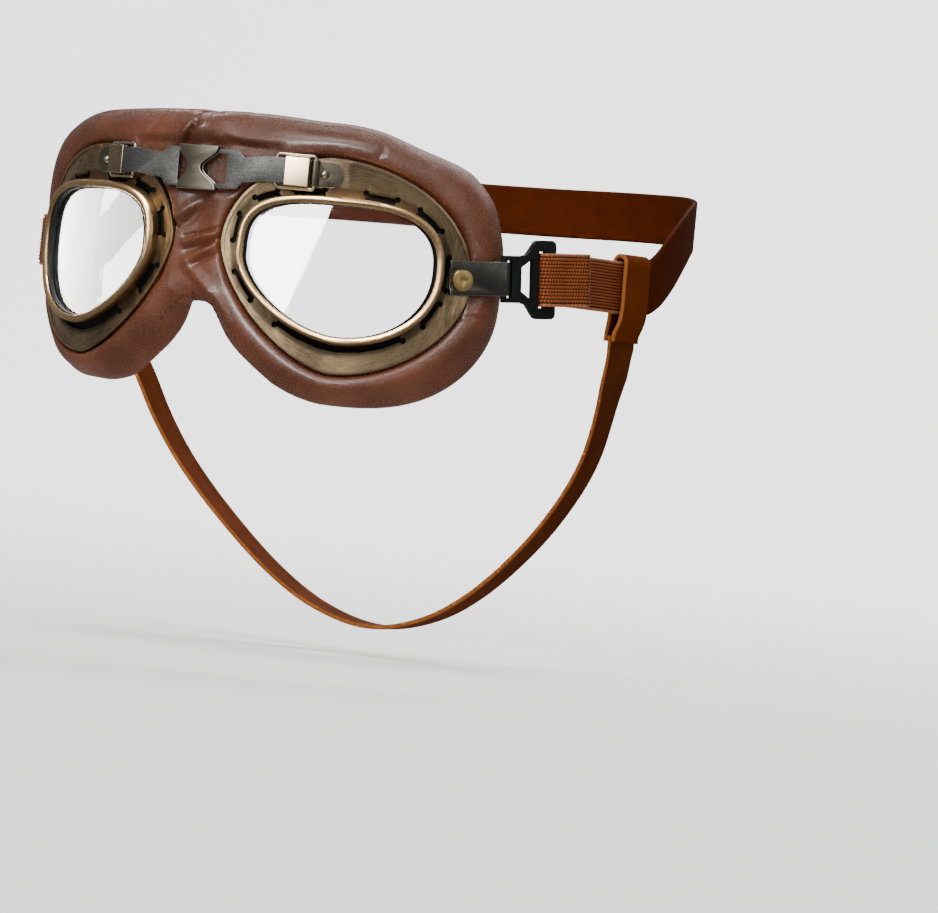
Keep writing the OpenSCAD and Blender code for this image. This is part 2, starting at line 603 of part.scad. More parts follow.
module chin_webbing() {
  lap = [loop_spot(0, -lap_in, lap_top - 0.4), loop_spot(0.1, -lap_in, lap_low + 0.3),
    loop_spot(0.3, -lap_in, lap_low - 1.5)];
  middle = curve(mirrored(concat([loop_spot(1.1, -lap_in - 0.1, lap_low - 4)], CHIN)), 3);
  route = concat(lap, middle, [for (i = [2, 1, 0]) [-lap[i][0], lap[i][1], lap[i][2]]]);
  // Its width lies along the head strap at each end and straight back below
  lean = cos(loop_turn);
  color("#55280f") ribbon(route, chin_w, chin_t, [for (q = route)
    let (k = max(0, 1 + (q[2] - lap_low + 2) / 14)) [sign(q[0]) * min(k, 1) * lean, sin(loop_turn), 0]]);
}

flange();  // left_flange
vent_ring();  // left_vent_ring
lens();  // left_lens
lens_gasket();  // left_lens_gasket
lens_rim();  // left_lens_rim
cushion();  // left_cushion
strap_tab();  // left_strap_tab
strap_rivet();  // left_strap_rivet
buckle();  // left_buckle
bridge_tab();  // left_bridge_tab
bridge_rivet();  // left_bridge_rivet
bridge_loop();  // left_bridge_loop
bridge_band();  // left_bridge_band
bridge_arm(fork_left);  // left_bridge_arm
elastic();  // left_elastic
chin_loop();  // left_chin_loop
right_side() flange();  // right_flange
right_side() vent_ring();  // right_vent_ring
right_side() lens();  // right_lens
right_side() lens_gasket();  // right_lens_gasket
right_side() lens_rim();  // right_lens_rim
right_side() cushion();  // right_cushion
right_side() strap_tab();  // right_strap_tab
right_side() strap_rivet();  // right_strap_rivet
right_side() buckle();  // right_buckle
right_side() bridge_tab();  // right_bridge_tab
right_side() bridge_rivet();  // right_bridge_rivet
right_side() bridge_loop();  // right_bridge_loop
right_side() bridge_band();  // right_bridge_band
right_side() bridge_arm(fork_right);  // right_bridge_arm
right_side() elastic();  // right_elastic
right_side() chin_loop();  // right_chin_loop
nose_leather();
bridge_clip();
head_band();
chin_webbing();
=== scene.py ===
import json
import math

import bpy
import bmesh
import numpy as np
from mathutils import Matrix, Vector


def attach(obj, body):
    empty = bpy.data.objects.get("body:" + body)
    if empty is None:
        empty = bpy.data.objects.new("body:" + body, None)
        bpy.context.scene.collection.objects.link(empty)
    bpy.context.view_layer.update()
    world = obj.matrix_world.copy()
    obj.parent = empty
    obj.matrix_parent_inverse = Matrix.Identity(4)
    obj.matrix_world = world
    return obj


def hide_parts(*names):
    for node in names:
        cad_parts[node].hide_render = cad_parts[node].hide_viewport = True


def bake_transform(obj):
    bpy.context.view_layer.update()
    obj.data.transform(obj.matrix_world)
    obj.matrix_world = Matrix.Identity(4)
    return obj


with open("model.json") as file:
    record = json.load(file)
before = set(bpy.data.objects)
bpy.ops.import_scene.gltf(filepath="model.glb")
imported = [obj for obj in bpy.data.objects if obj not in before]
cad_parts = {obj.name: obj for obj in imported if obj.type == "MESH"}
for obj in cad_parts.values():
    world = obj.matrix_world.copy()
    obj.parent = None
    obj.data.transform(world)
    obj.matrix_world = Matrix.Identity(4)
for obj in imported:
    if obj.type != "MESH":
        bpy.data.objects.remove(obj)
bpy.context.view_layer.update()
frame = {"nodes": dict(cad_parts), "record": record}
mm = 0.001
sides = (("left", 1), ("right", -1))
print("frame loaded")

cameraSet = {"place": (0.7892, -1.3729, -0.0421), "right": (0.8897, 0.4467, 0.0946),
             "up": (-0.0886, -0.0343, 0.9955), "ahead": (-0.4479, 0.894, -0.009), "lens": 184.18, "sensor": 36}
lampSet = {"world": 0.22,
           "lamps": (("topLight", (0.30, -0.85, 1.2), (0.02, 0, 0.03), (0.8, 0.5), 18),  # name, place, aim, size, watts
                     ("stripLight", (0.42, -1.25, 0.60), (0.04, 0, 0.03), (0.7, 0.26), 44),
                     ("crownLight", (0.10, -0.50, 1.30), (0.02, 0, 0.03), (1.2, 0.8), 90),
                     ("frontCard", (-0.30, -1.42, 0.3), (0, 0, 0.02), (0.8, 0.7), 5),
                     ("leftCard", (1.35, -0.35, 0.5), (0.05, 0, 0), (0.4, 1.0), 1.2),
                     ("backLight", (0.5, 1.15, 0.9), (0, 0.1, 0), (1.0, 0.6), 5),
                     ("bounceCard", (0.05, -0.25, -0.127), (0.05, -0.25, 1), (0.8, 0.8), 1.5),
                     ("paperLight", (-0.6, 1.6, 1.9), (-0.7, 1.9, -0.1), (2.4, 1.0), 60))}
paperSet = {"level": -0.131, "front": -2.6, "bend": 1.3, "radius": 0.9, "top": 2.4, "half": 4.0, "glow": 1.5}
cardSet = {"eye": (0.044, 0, 0), "facing": 6,
           "aim": ((14.1, 1.2), (22.8, 2.8)),  # turn and rise of the two ends of the front card's lower edge
           "front": {"reach": 1.6, "height": 1.6, "before": 1.2, "after": 0.6},
           "side": {"turn": -85, "rise": 4, "reach": 1.2, "width": 4.6, "height": 4.0},
           "glow": {"lens": (110, 27), "metal": (1.1, 0.01), "band": (12, 0.01), "rim": (7, 0.01)}}  # front and side


def placed(name, data):
    obj = bpy.data.objects.new(name, data)
    bpy.context.scene.collection.objects.link(obj)
    return obj


def lampAt(name, size, watts, place, rows):
    lamp = bpy.data.lights.new(name, "AREA")
    lamp.shape = "RECTANGLE"
    lamp.size, lamp.size_y = size
    lamp.energy = watts
    obj = placed(name, lamp)
    obj.matrix_world = Matrix.Translation(place) @ rows
    return obj


def makeCamera():
    cam = placed("photoCamera", bpy.data.cameras.new("photoCamera"))
    rows = [Vector(cameraSet["right"]).normalized(), Vector(cameraSet["up"]).normalized(),
            -Vector(cameraSet["ahead"]).normalized()]
    cam.matrix_world = Matrix.Translation(cameraSet["place"]) @ Matrix(rows).transposed().to_4x4()
    cam.data.lens = cameraSet["lens"]
    cam.data.sensor_width = cameraSet["sensor"]
    cam.data.clip_end = 30
    bpy.context.scene.camera = cam


def makeLamps():
    world = bpy.data.worlds.new("studio")
    bpy.context.scene.world = world
    world.use_nodes = True
    back = world.node_tree.nodes["Background"]
    back.inputs["Color"].default_value = (1, 1, 1, 1)
    back.inputs["Strength"].default_value = lampSet["world"]
    for name, place, aim, size, watts in lampSet["lamps"]:
        turn = (Vector(aim) - Vector(place)).to_track_quat("-Z", "Y").to_matrix().to_4x4()
        lamp = lampAt(name, size, watts, place, turn)
        if name == "bounceCard":  # stands for light off the floor
            lamp.visible_camera = lamp.visible_glossy = lamp.visible_transmission = False


def makePaper():  # a floor that bends up into the backdrop
    p = paperSet
    row = [(p["front"], p["level"])]
    for k in range(25):
        a = math.radians(90 * k / 24)
        row.append((p["bend"] + p["radius"] * math.sin(a), p["level"] + p["radius"] * (1 - math.cos(a))))
    row.append((p["bend"] + p["radius"], p["top"]))
    spots = [(x, y, z) for y, z in row for x in (-p["half"], p["half"])]
    faces = [(2 * i, 2 * i + 1, 2 * i + 3, 2 * i + 2) for i in range(len(row) - 1)]
    mesh = bpy.data.meshes.new("studioPaper")
    mesh.from_pydata(spots, [], faces)
    mesh.shade_smooth()
    paper = placed("studioPaper", mesh)
    net = Net("palePaper")
    depth = net.node("ShaderNodeSeparateXYZ", {}, [net.place], out=1)
    glow = net.blend(depth.ramp(-0.4, 1.5), (0.35, 0.35, 0.35), (1, 1, 1))
    net.finish(net.surface((0.84, 0.84, 0.83), 0.8, shine=0.1, **{"Emission Color": glow,
                                                                 "Emission Strength": p["glow"]}))
    mesh.materials.append(net.material)
    paper.visible_glossy = paper.visible_diffuse = False


def heading(turn, rise):
    a, b = math.radians(turn), math.radians(rise)
    return Vector((math.sin(a) * math.cos(b), -math.cos(a) * math.cos(b), math.sin(b)))


def pieceGroup(name, pieces):  # a lamp linked to the group reaches these pieces alone
    group = bpy.data.collections.new(name)
    for piece in pieces:
        group.objects.link(piece)
    return group


def makeCards(name, pieces, glow):  # bright cards that only these pieces mirror
    group = pieceGroup(name, pieces)
    front, side = cardSet["front"], cardSet["side"]
    eye = Vector(cardSet["eye"])
    low, high = (eye + heading(*aim) * front["reach"] for aim in cardSet["aim"])
    along = (high - low).normalized()
    back = heading(cardSet["facing"], 0)
    back = (back - along * back.dot(along)).normalized()
    rise = back.cross(along)
    if rise.z < 0:
        along, rise = -along, -rise
    middle = low + (high - low).normalized() * (front["after"] - front["before"]) / 2 + rise * front["height"] / 2
    spot = heading(side["turn"], side["rise"]) * side["reach"]
    cards = (("Front", (front["before"] + front["after"], front["height"]), middle,
              Matrix((along, rise, back)).transposed().to_4x4()),
             ("Side", (side["width"], side["height"]), spot, (-spot).to_track_quat("-Z", "Y").to_matrix().to_4x4()))
    for (part, size, place, rows), level in zip(cards, glow):
        card = lampAt(name + part, size, level * math.pi * size[0] * size[1], place, rows)
        card.light_linking.receiver_collection = group


def shineOn(name, pieces):  # this lamp only adds shine, and only to these pieces
    lamp = bpy.data.objects[name]
    lamp.visible_diffuse = False
    lamp.light_linking.receiver_collection = pieceGroup(name + "Pieces", pieces)


class Wire:
    def __init__(self, net, socket):
        self.net, self.socket = net, socket

    def maths(self, operation, *values):
        return self.net.node("ShaderNodeMath", {"operation": operation}, values)

    def __add__(self, other):
        return self.maths("ADD", self, other)

    def __radd__(self, other):
        return self.maths("ADD", other, self)

    def __sub__(self, other):
        return self.maths("SUBTRACT", self, other)

    def __rsub__(self, other):
        return self.maths("SUBTRACT", other, self)

    def __mul__(self, other):
        return self.maths("MULTIPLY", self, other)

    def __rmul__(self, other):
        return self.maths("MULTIPLY", other, self)

    def __truediv__(self, other):
        return self.maths("DIVIDE", self, other)

    def __rtruediv__(self, other):
        return self.maths("DIVIDE", other, self)

    def __pow__(self, other):
        return self.maths("POWER", self, other)

    def sine(self):
        return self.maths("SINE", self)

    def size(self):
        return self.maths("ABSOLUTE", self)

    def part(self, axis):
        return self.net.node("ShaderNodeSeparateXYZ", {}, [self], out=axis)

    def ramp(self, start, end, low=0.0, high=1.0):
        return self.net.node("ShaderNodeMapRange", {"interpolation_type": "SMOOTHSTEP"}, (self, start, end, low, high))


def shade(color):
    return color if isinstance(color, Wire) else (*color, 1)


class Tree:
    def node(self, kind, settings=None, values=(), out=0):
        made = self.tree.nodes.new(kind)
        for name, value in (settings or {}).items():
            if name == "stops":
                stops = made.color_ramp.elements
                while len(stops) < len(value):
                    stops.new(0.5)
                for stop, (place, color) in zip(stops, value):
                    stop.position, stop.color = place, (*color, 1)
            else:
                setattr(made, name, value)
        pairs = values.items() if isinstance(values, dict) else enumerate(values)
        for key, value in pairs:
            if isinstance(value, Wire):
                self.tree.links.new(value.socket, made.inputs[key])
            elif value is not None:
                made.inputs[key].default_value = value
        return Wire(self, made.outputs[out])


class Rig(Tree):  # a Geometry Nodes tree with named sizes
    def __init__(self, name, sizes):
        self.tree = bpy.data.node_groups.new(name, "GeometryNodeTree")
        face = self.tree.interface
        face.new_socket("Geometry", in_out="INPUT", socket_type="NodeSocketGeometry")
        face.new_socket("Geometry", in_out="OUTPUT", socket_type="NodeSocketGeometry")
        self.keys = {}
        for label, value in {**sizes, "Finish": None}.items():
            kind = "Material" if value is None else "Int" if isinstance(value, int) else "Float"
            socket = face.new_socket(label, in_out="INPUT", socket_type="NodeSocket" + kind)
            if value is not None:
                socket.default_value = value
            self.keys[label] = socket.identifier
        self.source = self.tree.nodes.new("NodeGroupInput")

    def given(self, label):
        return Wire(self, self.source.outputs[label])

    def finish(self, shape):
        real = self.node("GeometryNodeRealizeInstances", {}, [shape])
        dressed = self.node("GeometryNodeSetMaterial", {}, {"Geometry": real, "Material": self.given("Finish")})
        out = self.tree.nodes.new("NodeGroupOutput")
        self.tree.links.new(dressed.socket, out.inputs["Geometry"])
        return self


class Net(Tree):
    def __init__(self, name):
        self.material = bpy.data.materials.new(name)
        self.material.use_nodes = True
        self.tree = self.material.node_tree
        self.tree.nodes.clear()
        self.place = self.node("ShaderNodeTexCoord", out="Object")

    def stretched(self, x, y, z):
        return self.node("ShaderNodeMapping", {}, {"Vector": self.place, "Scale": (x, y, z)})

    def stored(self, name):
        return self.node("ShaderNodeAttribute", {"attribute_name": name}, out="Vector")

    def noise(self, where, scale, detail, rough):
        values = {"Vector": where, "Scale": scale, "Detail": detail, "Roughness": rough}
        return self.node("ShaderNodeTexNoise", {}, values)

    def cells(self, where, scale):  # 0 at the cells' borders
        return self.node("ShaderNodeTexVoronoi", {"feature": "DISTANCE_TO_EDGE"}, {"Vector": where, "Scale": scale})

    def blend(self, amount, first, second):
        return self.node("ShaderNodeMix", {"data_type": "RGBA"}, {0: amount, 6: shade(first), 7: shade(second)}, out=2)

    def bump(self, height, distance, strength):
        return self.node("ShaderNodeBump", {}, {"Height": height, "Distance": distance, "Strength": strength})

    def surface(self, color, roughness, metallic=0.0, normal=None, shine=0.5, **fixed):
        values = {"Base Color": shade(color), "Roughness": roughness, "Metallic": metallic, "Normal": normal,
                  "Specular IOR Level": shine, **fixed}
        return self.node("ShaderNodeBsdfPrincipled", {}, values)

    def finish(self, shader):
        out = self.tree.nodes.new("ShaderNodeOutputMaterial")
        self.tree.links.new(shader.socket, out.inputs["Surface"])
        return self.material


def brushedMetal(name, color, dark, roughness, mottle=0.5, grain=0.2, ringed=False, rimShade=None, patch=90):
    net = Net(name)
    where = net.stored("brush") if ringed else net.stretched(220, 3000, 3000)
    fine = net.noise(where, 1.0, 5, 0.7)
    cloud = net.noise(net.place, patch, 3, 0.6)
    speck = net.noise(net.place, 2600, 2, 0.6)
    worn = (fine * 0.6 + cloud * 0.45 + speck * grain - grain / 2).ramp(0.38, 0.68)
    tint = net.blend(worn * mottle + (1 - mottle) * 0.5, dark, color)
    rough = roughness + (speck - 0.5) * 0.2 + (1 - worn) * 0.1
    # a dark ring painted on the flange next to the rim: painted shade for the gap where the rim stands proud
    if rimShade is not None:
        near = 1 - (net.stored("edges").part(0) + cloud * 0.8).ramp(rimShade[0], rimShade[1])
        tint = net.blend(near * rimShade[2], tint, rimShade[3])
        rough = rough + near * 0.15
    normal = net.bump(fine * 0.7 + speck * 0.3, 0.00006, 0.4)
    return net.finish(net.surface(tint, rough, 1.0, normal))


def leatherSkin(name, deep, mid, light):
    net = Net(name)
    pores = net.cells(net.place, 2300)
    grain = net.noise(net.place, 1500, 3, 0.6)
    creases = net.noise(net.stretched(150, 150, 240), 1.0, 4, 0.6)
    cloud = net.noise(net.place, 38, 3, 0.5)
    body = net.blend(cloud.ramp(0.35, 0.68), deep, mid)
    tint = net.blend((grain - 0.5) * 0.9 + creases.ramp(0.55, 0.8) * 0.2, body, light)
    height = pores.ramp(0.0, 0.12) * 0.3 + grain * 0.45 + creases * 0.5
    normal = net.bump(height, 0.00011, 0.8)
    rough = 0.27 + (grain - 0.5) * 0.2 + (cloud - 0.5) * 0.12
    return net.finish(net.surface(tint, rough, 0.0, normal, 0.42))


def suedeSkin(name, deep, light, edgeColor):
    net = Net(name)
    fluff = net.noise(net.place, 2100, 4, 0.7)
    cloud = net.noise(net.place, 147, 3, 0.55)
    edge = 1 - net.stored("weave").part(0).ramp(0.03, 0.08)
    tint = net.blend(edge * 0.9, net.blend(fluff * 0.8 + cloud * 0.5 - 0.15, deep, light), edgeColor)
    normal = net.bump(fluff + cloud * 0.6, 0.0003, 0.6)
    return net.finish(net.surface(tint, 0.9, 0.0, normal, 0.06))


def wovenBand(name, deep, light, edgeColor, ribs, picks, diagonal, ribDepth, gloss, oneEdge):
    net = Net(name)
    weave = net.stored("weave")
    across, along = weave.part(0), weave.part(1)
    rib = (across * (ribs * math.pi) + along * diagonal).sine().size()
    pick = (along * (picks * math.pi) + rib * 0.4).sine().size()
    fuzz = net.noise(net.place, 2400, 3, 0.7)
    cloud = net.noise(net.place, 110, 3, 0.55)
    edge = 1 - across.ramp(0.02, 0.06) if oneEdge else (across - 0.5).size().ramp(0.455, 0.48)
    thread = (rib ** 0.7 * 0.7 + pick * 0.3 + (fuzz - 0.5) * 0.5 + (cloud - 0.5) * 0.5).ramp(0.2, 1.05)
    tint = net.blend(edge, net.blend(thread, deep, light), edgeColor)
    normal = net.bump(rib ** 0.6 + pick * 0.35 + fuzz * 0.15, ribDepth, 0.8)
    return net.finish(net.surface(tint, gloss + (fuzz - 0.5) * 0.2, 0.0, normal, 0.04))


def cordSkin(name, deep, light, gloss):
    net = Net(name)
    bead = net.stored("bead").part(0)
    fuzz = net.noise(net.place, 2600, 3, 0.7)
    cloud = net.noise(net.place, 130, 3, 0.6)
    # bead crests painted lighter and the dips between them darker: painted highlight and shade, mixed with random fuzz
    # and cloud tone
    beadLightAndTone = (bead * 0.55 + fuzz * 0.45 + cloud * 0.4 - 0.2).ramp(0.15, 0.95)
    normal = net.bump(fuzz, 0.00006, 0.6)
    return net.finish(net.surface(net.blend(beadLightAndTone, deep, light), gloss, 0.0, normal, 0.2))


def plainFinish(name, color, roughness, shine=0.5, grainScale=1800, bumpDepth=0.00004):
    net = Net(name)
    speck = net.noise(net.place, grainScale, 3, 0.6)
    cloud = net.noise(net.place, 60, 3, 0.5)
    lighter = tuple(min(1, c * 1.5 + 0.002) for c in color)
    tint = net.blend((speck * 0.5 + cloud * 0.5).ramp(0.3, 0.7), color, lighter)
    normal = net.bump(speck, bumpDepth, 0.4)
    return net.finish(net.surface(tint, roughness + (cloud - 0.5) * 0.15, 0.0, normal, shine))


def clearLens(name):
    net = Net(name)
    haze = net.noise(net.place, 30, 2, 0.5)
    return net.finish(net.surface((0.97, 0.975, 0.975), 0.01 + haze * 0.02, shine=0.8,
                                  **{"Transmission Weight": 1.0, "IOR": 1.45}))


looks = {  # the maker of each finish and what it takes
    # antiqueBrass's last but one entry paints shade in a dark ring on the flange next to the rim
    "antiqueBrass": (brushedMetal, (0.62, 0.44, 0.25), (0.09, 0.065, 0.040), 0.28, 0.9, 0.1, True,
                     (2.9, 4.6, 0.75, (0.045, 0.036, 0.024)), 34),
    "rimBrass": (brushedMetal, (0.80, 0.55, 0.28), (0.30, 0.18, 0.085), 0.24, 0.6, 0.1, True),
    "rivetBrass": (brushedMetal, (0.70, 0.48, 0.20), (0.32, 0.21, 0.08), 0.28),
    "bandBrass": (brushedMetal, (0.95, 0.76, 0.48), (0.62, 0.45, 0.24), 0.30),
    # a darker copy of the band brass for the right bridge band: painted shade
    "darkBand": (brushedMetal, (0.52, 0.39, 0.25), (0.18, 0.13, 0.085), 0.26, 0.6),
    "gunmetal": (brushedMetal, (0.24, 0.235, 0.22), (0.08, 0.079, 0.074), 0.40, 0.6, 0.8),
    "tabMetal": (brushedMetal, (0.15, 0.147, 0.132), (0.045, 0.045, 0.041), 0.24, 0.6, 0.1),
    "clipMetal": (brushedMetal, (0.23, 0.20, 0.15), (0.08, 0.07, 0.051), 0.32, 0.45, 0.3),
    "wireMetal": (brushedMetal, (0.72, 0.64, 0.50), (0.30, 0.25, 0.18), 0.22, 0.4),
    # the two edge finishes are lighter than the parts they edge: real wear plus a painted highlight along the eased
    # edges
    "wornEdge": (brushedMetal, (0.95, 0.84, 0.66), (0.55, 0.46, 0.33), 0.22),
    "wornSteel": (brushedMetal, (0.62, 0.60, 0.55), (0.30, 0.29, 0.26), 0.25),
    "blackPlastic": (plainFinish, (0.003, 0.003, 0.003), 0.5, 0.15),
    "gasketRubber": (plainFinish, (0.003, 0.003, 0.003), 0.6, 0.15),
    "blackBuckle": (plainFinish, (0.0045, 0.006, 0.0055), 0.5, 0.2, 3000, 0.00005),
    "clearLens": (clearLens,),
    "brownLeather": (leatherSkin, (0.110, 0.033, 0.014), (0.185, 0.057, 0.025), (0.33, 0.12, 0.062)),
    "stitchThread": (plainFinish, (0.03, 0.011, 0.007), 0.7, 0.5, 4000),
    "tanGround": (plainFinish, (0.05, 0.012, 0.003), 0.85, 0.1, 2400, 0.0001),
    "tanCord": (cordSkin, (0.125, 0.025, 0.005), (0.43, 0.12, 0.034), 0.45),
    "tanFineCord": (cordSkin, (0.155, 0.031, 0.0055), (0.35, 0.078, 0.017), 0.55),
    "tanSelvedge": (cordSkin, (0.28, 0.092, 0.035), (0.50, 0.19, 0.083), 0.45),
    "brownBand": (wovenBand, (0.045, 0.0072, 0.0004), (0.083, 0.0138, 0.0007), (0.06, 0.011, 0.001),
                  30, 1.6, 0.0, 0.00005, 0.6, False),
    "chinWebbing": (wovenBand, (0.030, 0.0048, 0.0004), (0.155, 0.034, 0.0045), (0.32, 0.10, 0.024),
                    9, 1.2, 2.4, 0.0002, 0.62, True),
    "suede": (suedeSkin, (0.085, 0.014, 0.0012), (0.175, 0.038, 0.0042), (0.40, 0.135, 0.036))}


# The part's own shape rules, in millimetres. An outline: its reach inwards, outwards, up and down, the powers of its
# quarters from the upper outer one round, its centre and its slope
eyeSet = {"x": 44.4, "wrap": math.radians(26.6), "radius": 106.0}
rimShape = (34.5, 32.1, 21.3, 26.9, (2.65, 3.5, 1.65, 2.1), (4.2, 2.4), 0.0)
flangeShape = (38.6, 44.2, 33.2, 36.6, (2.15, 1.85, 1.6, 1.7), (2.2, 3.0), -0.09)
maskShape = (50.0, 59.0, 45.5, 47.0, (2.45, 8.0, 1.8, 2.5), (2.2, 3.0), -0.03)
wideMask = (58.0,) + maskShape[1:]


def onEye(u, v, h):
    wrap, radius = eyeSet["wrap"], eyeSet["radius"]
    a = np.arcsin(u / radius)
    x, y = (radius + h) * np.sin(a), radius - (radius + h) * np.cos(a)
    return np.stack([eyeSet["x"] + x * math.cos(wrap) - y * math.sin(wrap),
                     x * math.sin(wrap) + y * math.cos(wrap), v + 0 * x], -1)


def onWall(u, v, h):
    return onEye(u * eyeSet["radius"] / (eyeSet["radius"] + h), v, h)


def quarter(shape, x, y):  # reach sideways, reach up or down and power, for points on this side of the centre
    powers = shape[4]
    n = np.select([(y >= 0) & (x >= 0), y >= 0, x < 0], list(powers[:3]), powers[3])
    return np.where(x < 0, shape[0], shape[1]), np.where(y > 0, shape[2], shape[3]), n


def polar(shape, angle, grow=0.0):  # outline point at a true angle round its centre
    c, s = np.cos(angle), np.sin(angle)
    a, b, n = quarter(shape, c, s)
    reach = (np.abs(c / (a + grow)) ** n + np.abs(s / (b + grow)) ** n) ** (-1 / n)
    u = shape[5][0] + reach * c
    return u, shape[5][1] + reach * s + shape[6] * u


def insideShape(shape, u, v):
    x, y = u - shape[5][0], v - shape[6] * u - shape[5][1]
    a, b, n = quarter(shape, x, y)
    return np.abs(x / a) ** n + np.abs(y / b) ** n < 1


def smoothRow(points, steps, closed=False):
    p = np.asarray(points, float)
    n = len(p)
    rows = []
    for i in range(n if closed else n - 1):
        if closed:
            a, b, c, d = p[i - 1], p[i], p[(i + 1) % n], p[(i + 2) % n]
        else:
            a, b, c, d = p[max(i - 1, 0)], p[i], p[i + 1], p[min(i + 2, n - 1)]
        for j in range(steps):
            s = j / steps
            rows.append(0.5 * (2 * b + (c - a) * s + (2 * a - 5 * b + 4 * c - d) * s ** 2
                               + (3 * b - a - 3 * c + d) * s ** 3))
    if not closed:
        rows.append(p[-1])
    return np.array(rows)


def ease(x, low, high):
    t = np.clip((x - low) / (high - low), 0, 1)
    return t * t * (3 - 2 * t)


def gridPiece(name, rings, material, closedRings=False, caps=False, weave=None):
    rings = np.asarray(rings, float)
    n, m = rings.shape[:2]
    mesh = bpy.data.meshes.new(name)
    faces = []
    for i in range(n if closedRings else n - 1):
        k = (i + 1) % n
        for j in range(m):
            q = (j + 1) % m
            faces.append((i * m + j, i * m + q, k * m + q, k * m + j))
    if caps:
        faces.append(tuple(range(m))[::-1])
        faces.append(tuple(range((n - 1) * m, n * m)))
    mesh.from_pydata((rings.reshape(-1, 3) * mm).tolist(), [], faces)
    if weave is not None:
        store(mesh, "weave", weave)
    mesh.update()
    obj = placed(name, mesh)
    mesh.materials.append(finishes[material])
    fixNormals(obj)
    mesh.shade_smooth()
    return obj


def store(mesh, name, vectors):
    layer = mesh.attributes.new(name, "FLOAT_VECTOR", "POINT")
    layer.data.foreach_set("vector", np.asarray(vectors, np.float32).ravel())


def fixNormals(obj):
    work = bmesh.new()
    work.from_mesh(obj.data)
    bmesh.ops.recalc_face_normals(work, faces=work.faces)
    work.to_mesh(obj.data)
    work.free()


def applied(obj):  # the modifiers' result becomes the plain mesh
    graph = bpy.context.evaluated_depsgraph_get()
    mesh = bpy.data.meshes.new_from_object(obj.evaluated_get(graph), preserve_all_data_layers=True, depsgraph=graph)
    old = obj.data
    obj.modifiers.clear()
    obj.data = mesh
    mesh.name = obj.name
    bpy.data.meshes.remove(old)
    return obj


def grown(name, lines, outward, rig, finish, sizes):  # runs a node tree on guide lines and keeps the plain mesh
    if np.ndim(lines[0]) < 2:
        lines = [np.asarray(lines, float)]
    spots, links, facing = [], [], []
    for k, line in enumerate(lines):
        first = len(spots)
        spots += (line * mm).tolist()
        links += [(first + i, first + i + 1) for i in range(len(line) - 1)]
        facing += list(outward) if outward is not None else [(k * 0.37 % 1, 0, 0)] * len(line)
    mesh = bpy.data.meshes.new(name)
    mesh.from_pydata(spots, links, [])
    store(mesh, "outward", facing)
    obj = placed(name, mesh)
    made = obj.modifiers.new("grown", "NODES")
    made.node_group = rig.tree
    for label, value in sizes.items():
        made[rig.keys[label]] = value
    made[rig.keys["Finish"]] = finishes[finish]
    applied(obj).data.shade_smooth()
    return obj


def joined(first, *others):  # one mesh from several, each keeping its finish
    with bpy.context.temp_override(active_object=first, selected_objects=[first, *others],
                                   selected_editable_objects=[first, *others]):
        bpy.ops.object.join()
    return first


def vertexRows(mesh):
    rows = np.empty(len(mesh.vertices) * 3)
    mesh.vertices.foreach_get("co", rows)
    return rows.reshape(-1, 3)


# Hardware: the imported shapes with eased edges. Part: finish, bevel in mm, brushed round the ring, finish of the edges
hardware = {
    "flange": ("antiqueBrass", 0.3, True, "wornEdge"), "vent_ring": ("blackPlastic", 0, True, None),
    "lens_rim": ("rimBrass", 0, True, None), "lens": ("clearLens", 0, False, None),
    "lens_gasket": ("gasketRubber", 0, False, None), "strap_tab": ("tabMetal", 0.25, False, "wornSteel"),
    "strap_rivet": ("rivetBrass", 0.2, False, None), "buckle": ("blackBuckle", 0.4, False, None),
    "bridge_tab": ("clipMetal", 0.2, False, "wornSteel"), "bridge_rivet": ("wireMetal", 0, False, None),
    "bridge_loop": ("wireMetal", 0, False, None), "bridge_band": ("bandBrass", 0.2, False, "wornEdge"),
    "bridge_arm": ("gunmetal", 0.3, False, "wornSteel")}
# the right bridge band takes the darker band brass: painted shade for the band turned from the light
shadedCopy = {"right_bridge_band": "darkBand"}
bodyOf = {n: b for b, nodes in frame["record"]["behaviour"]["bodies"].items() for n in nodes}
brushSet = {"turns": 9.0, "across": 6.0}


def dressNode(node, finish, bevel, ring, edge):
    mesh = frame["nodes"][node].data.copy()
    mesh.name = node + "_dressed"
    obj = placed(node + "_dressed", mesh)
    work = bmesh.new()
    work.from_mesh(mesh)
    bmesh.ops.remove_doubles(work, verts=work.verts, dist=2e-6)
    bmesh.ops.dissolve_limit(work, angle_limit=math.radians(0.6), verts=work.verts, edges=work.edges)
    work.to_mesh(mesh)
    work.free()
    mesh.materials.clear()
    mesh.materials.append(finishes[finish])
    # the edge finish on the bevel faces is lighter: wear plus a painted highlight
    if edge:
        mesh.materials.append(finishes[edge])
    if bevel:
        eased = obj.modifiers.new("easedEdges", "BEVEL")
        eased.width = bevel * mm
        eased.segments = 3
        eased.limit_method = "ANGLE"
        eased.angle_limit = math.radians(35)
        eased.material = 1 if edge else 0
        applied(obj)
        mesh = obj.data
    mesh.shade_smooth()
    mesh.set_sharp_from_angle(angle=math.radians(32))
    if ring:
        brushRound(obj, 1 if node.startswith("left") else -1)
    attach(obj, bodyOf[node])
    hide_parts(node)
    return obj


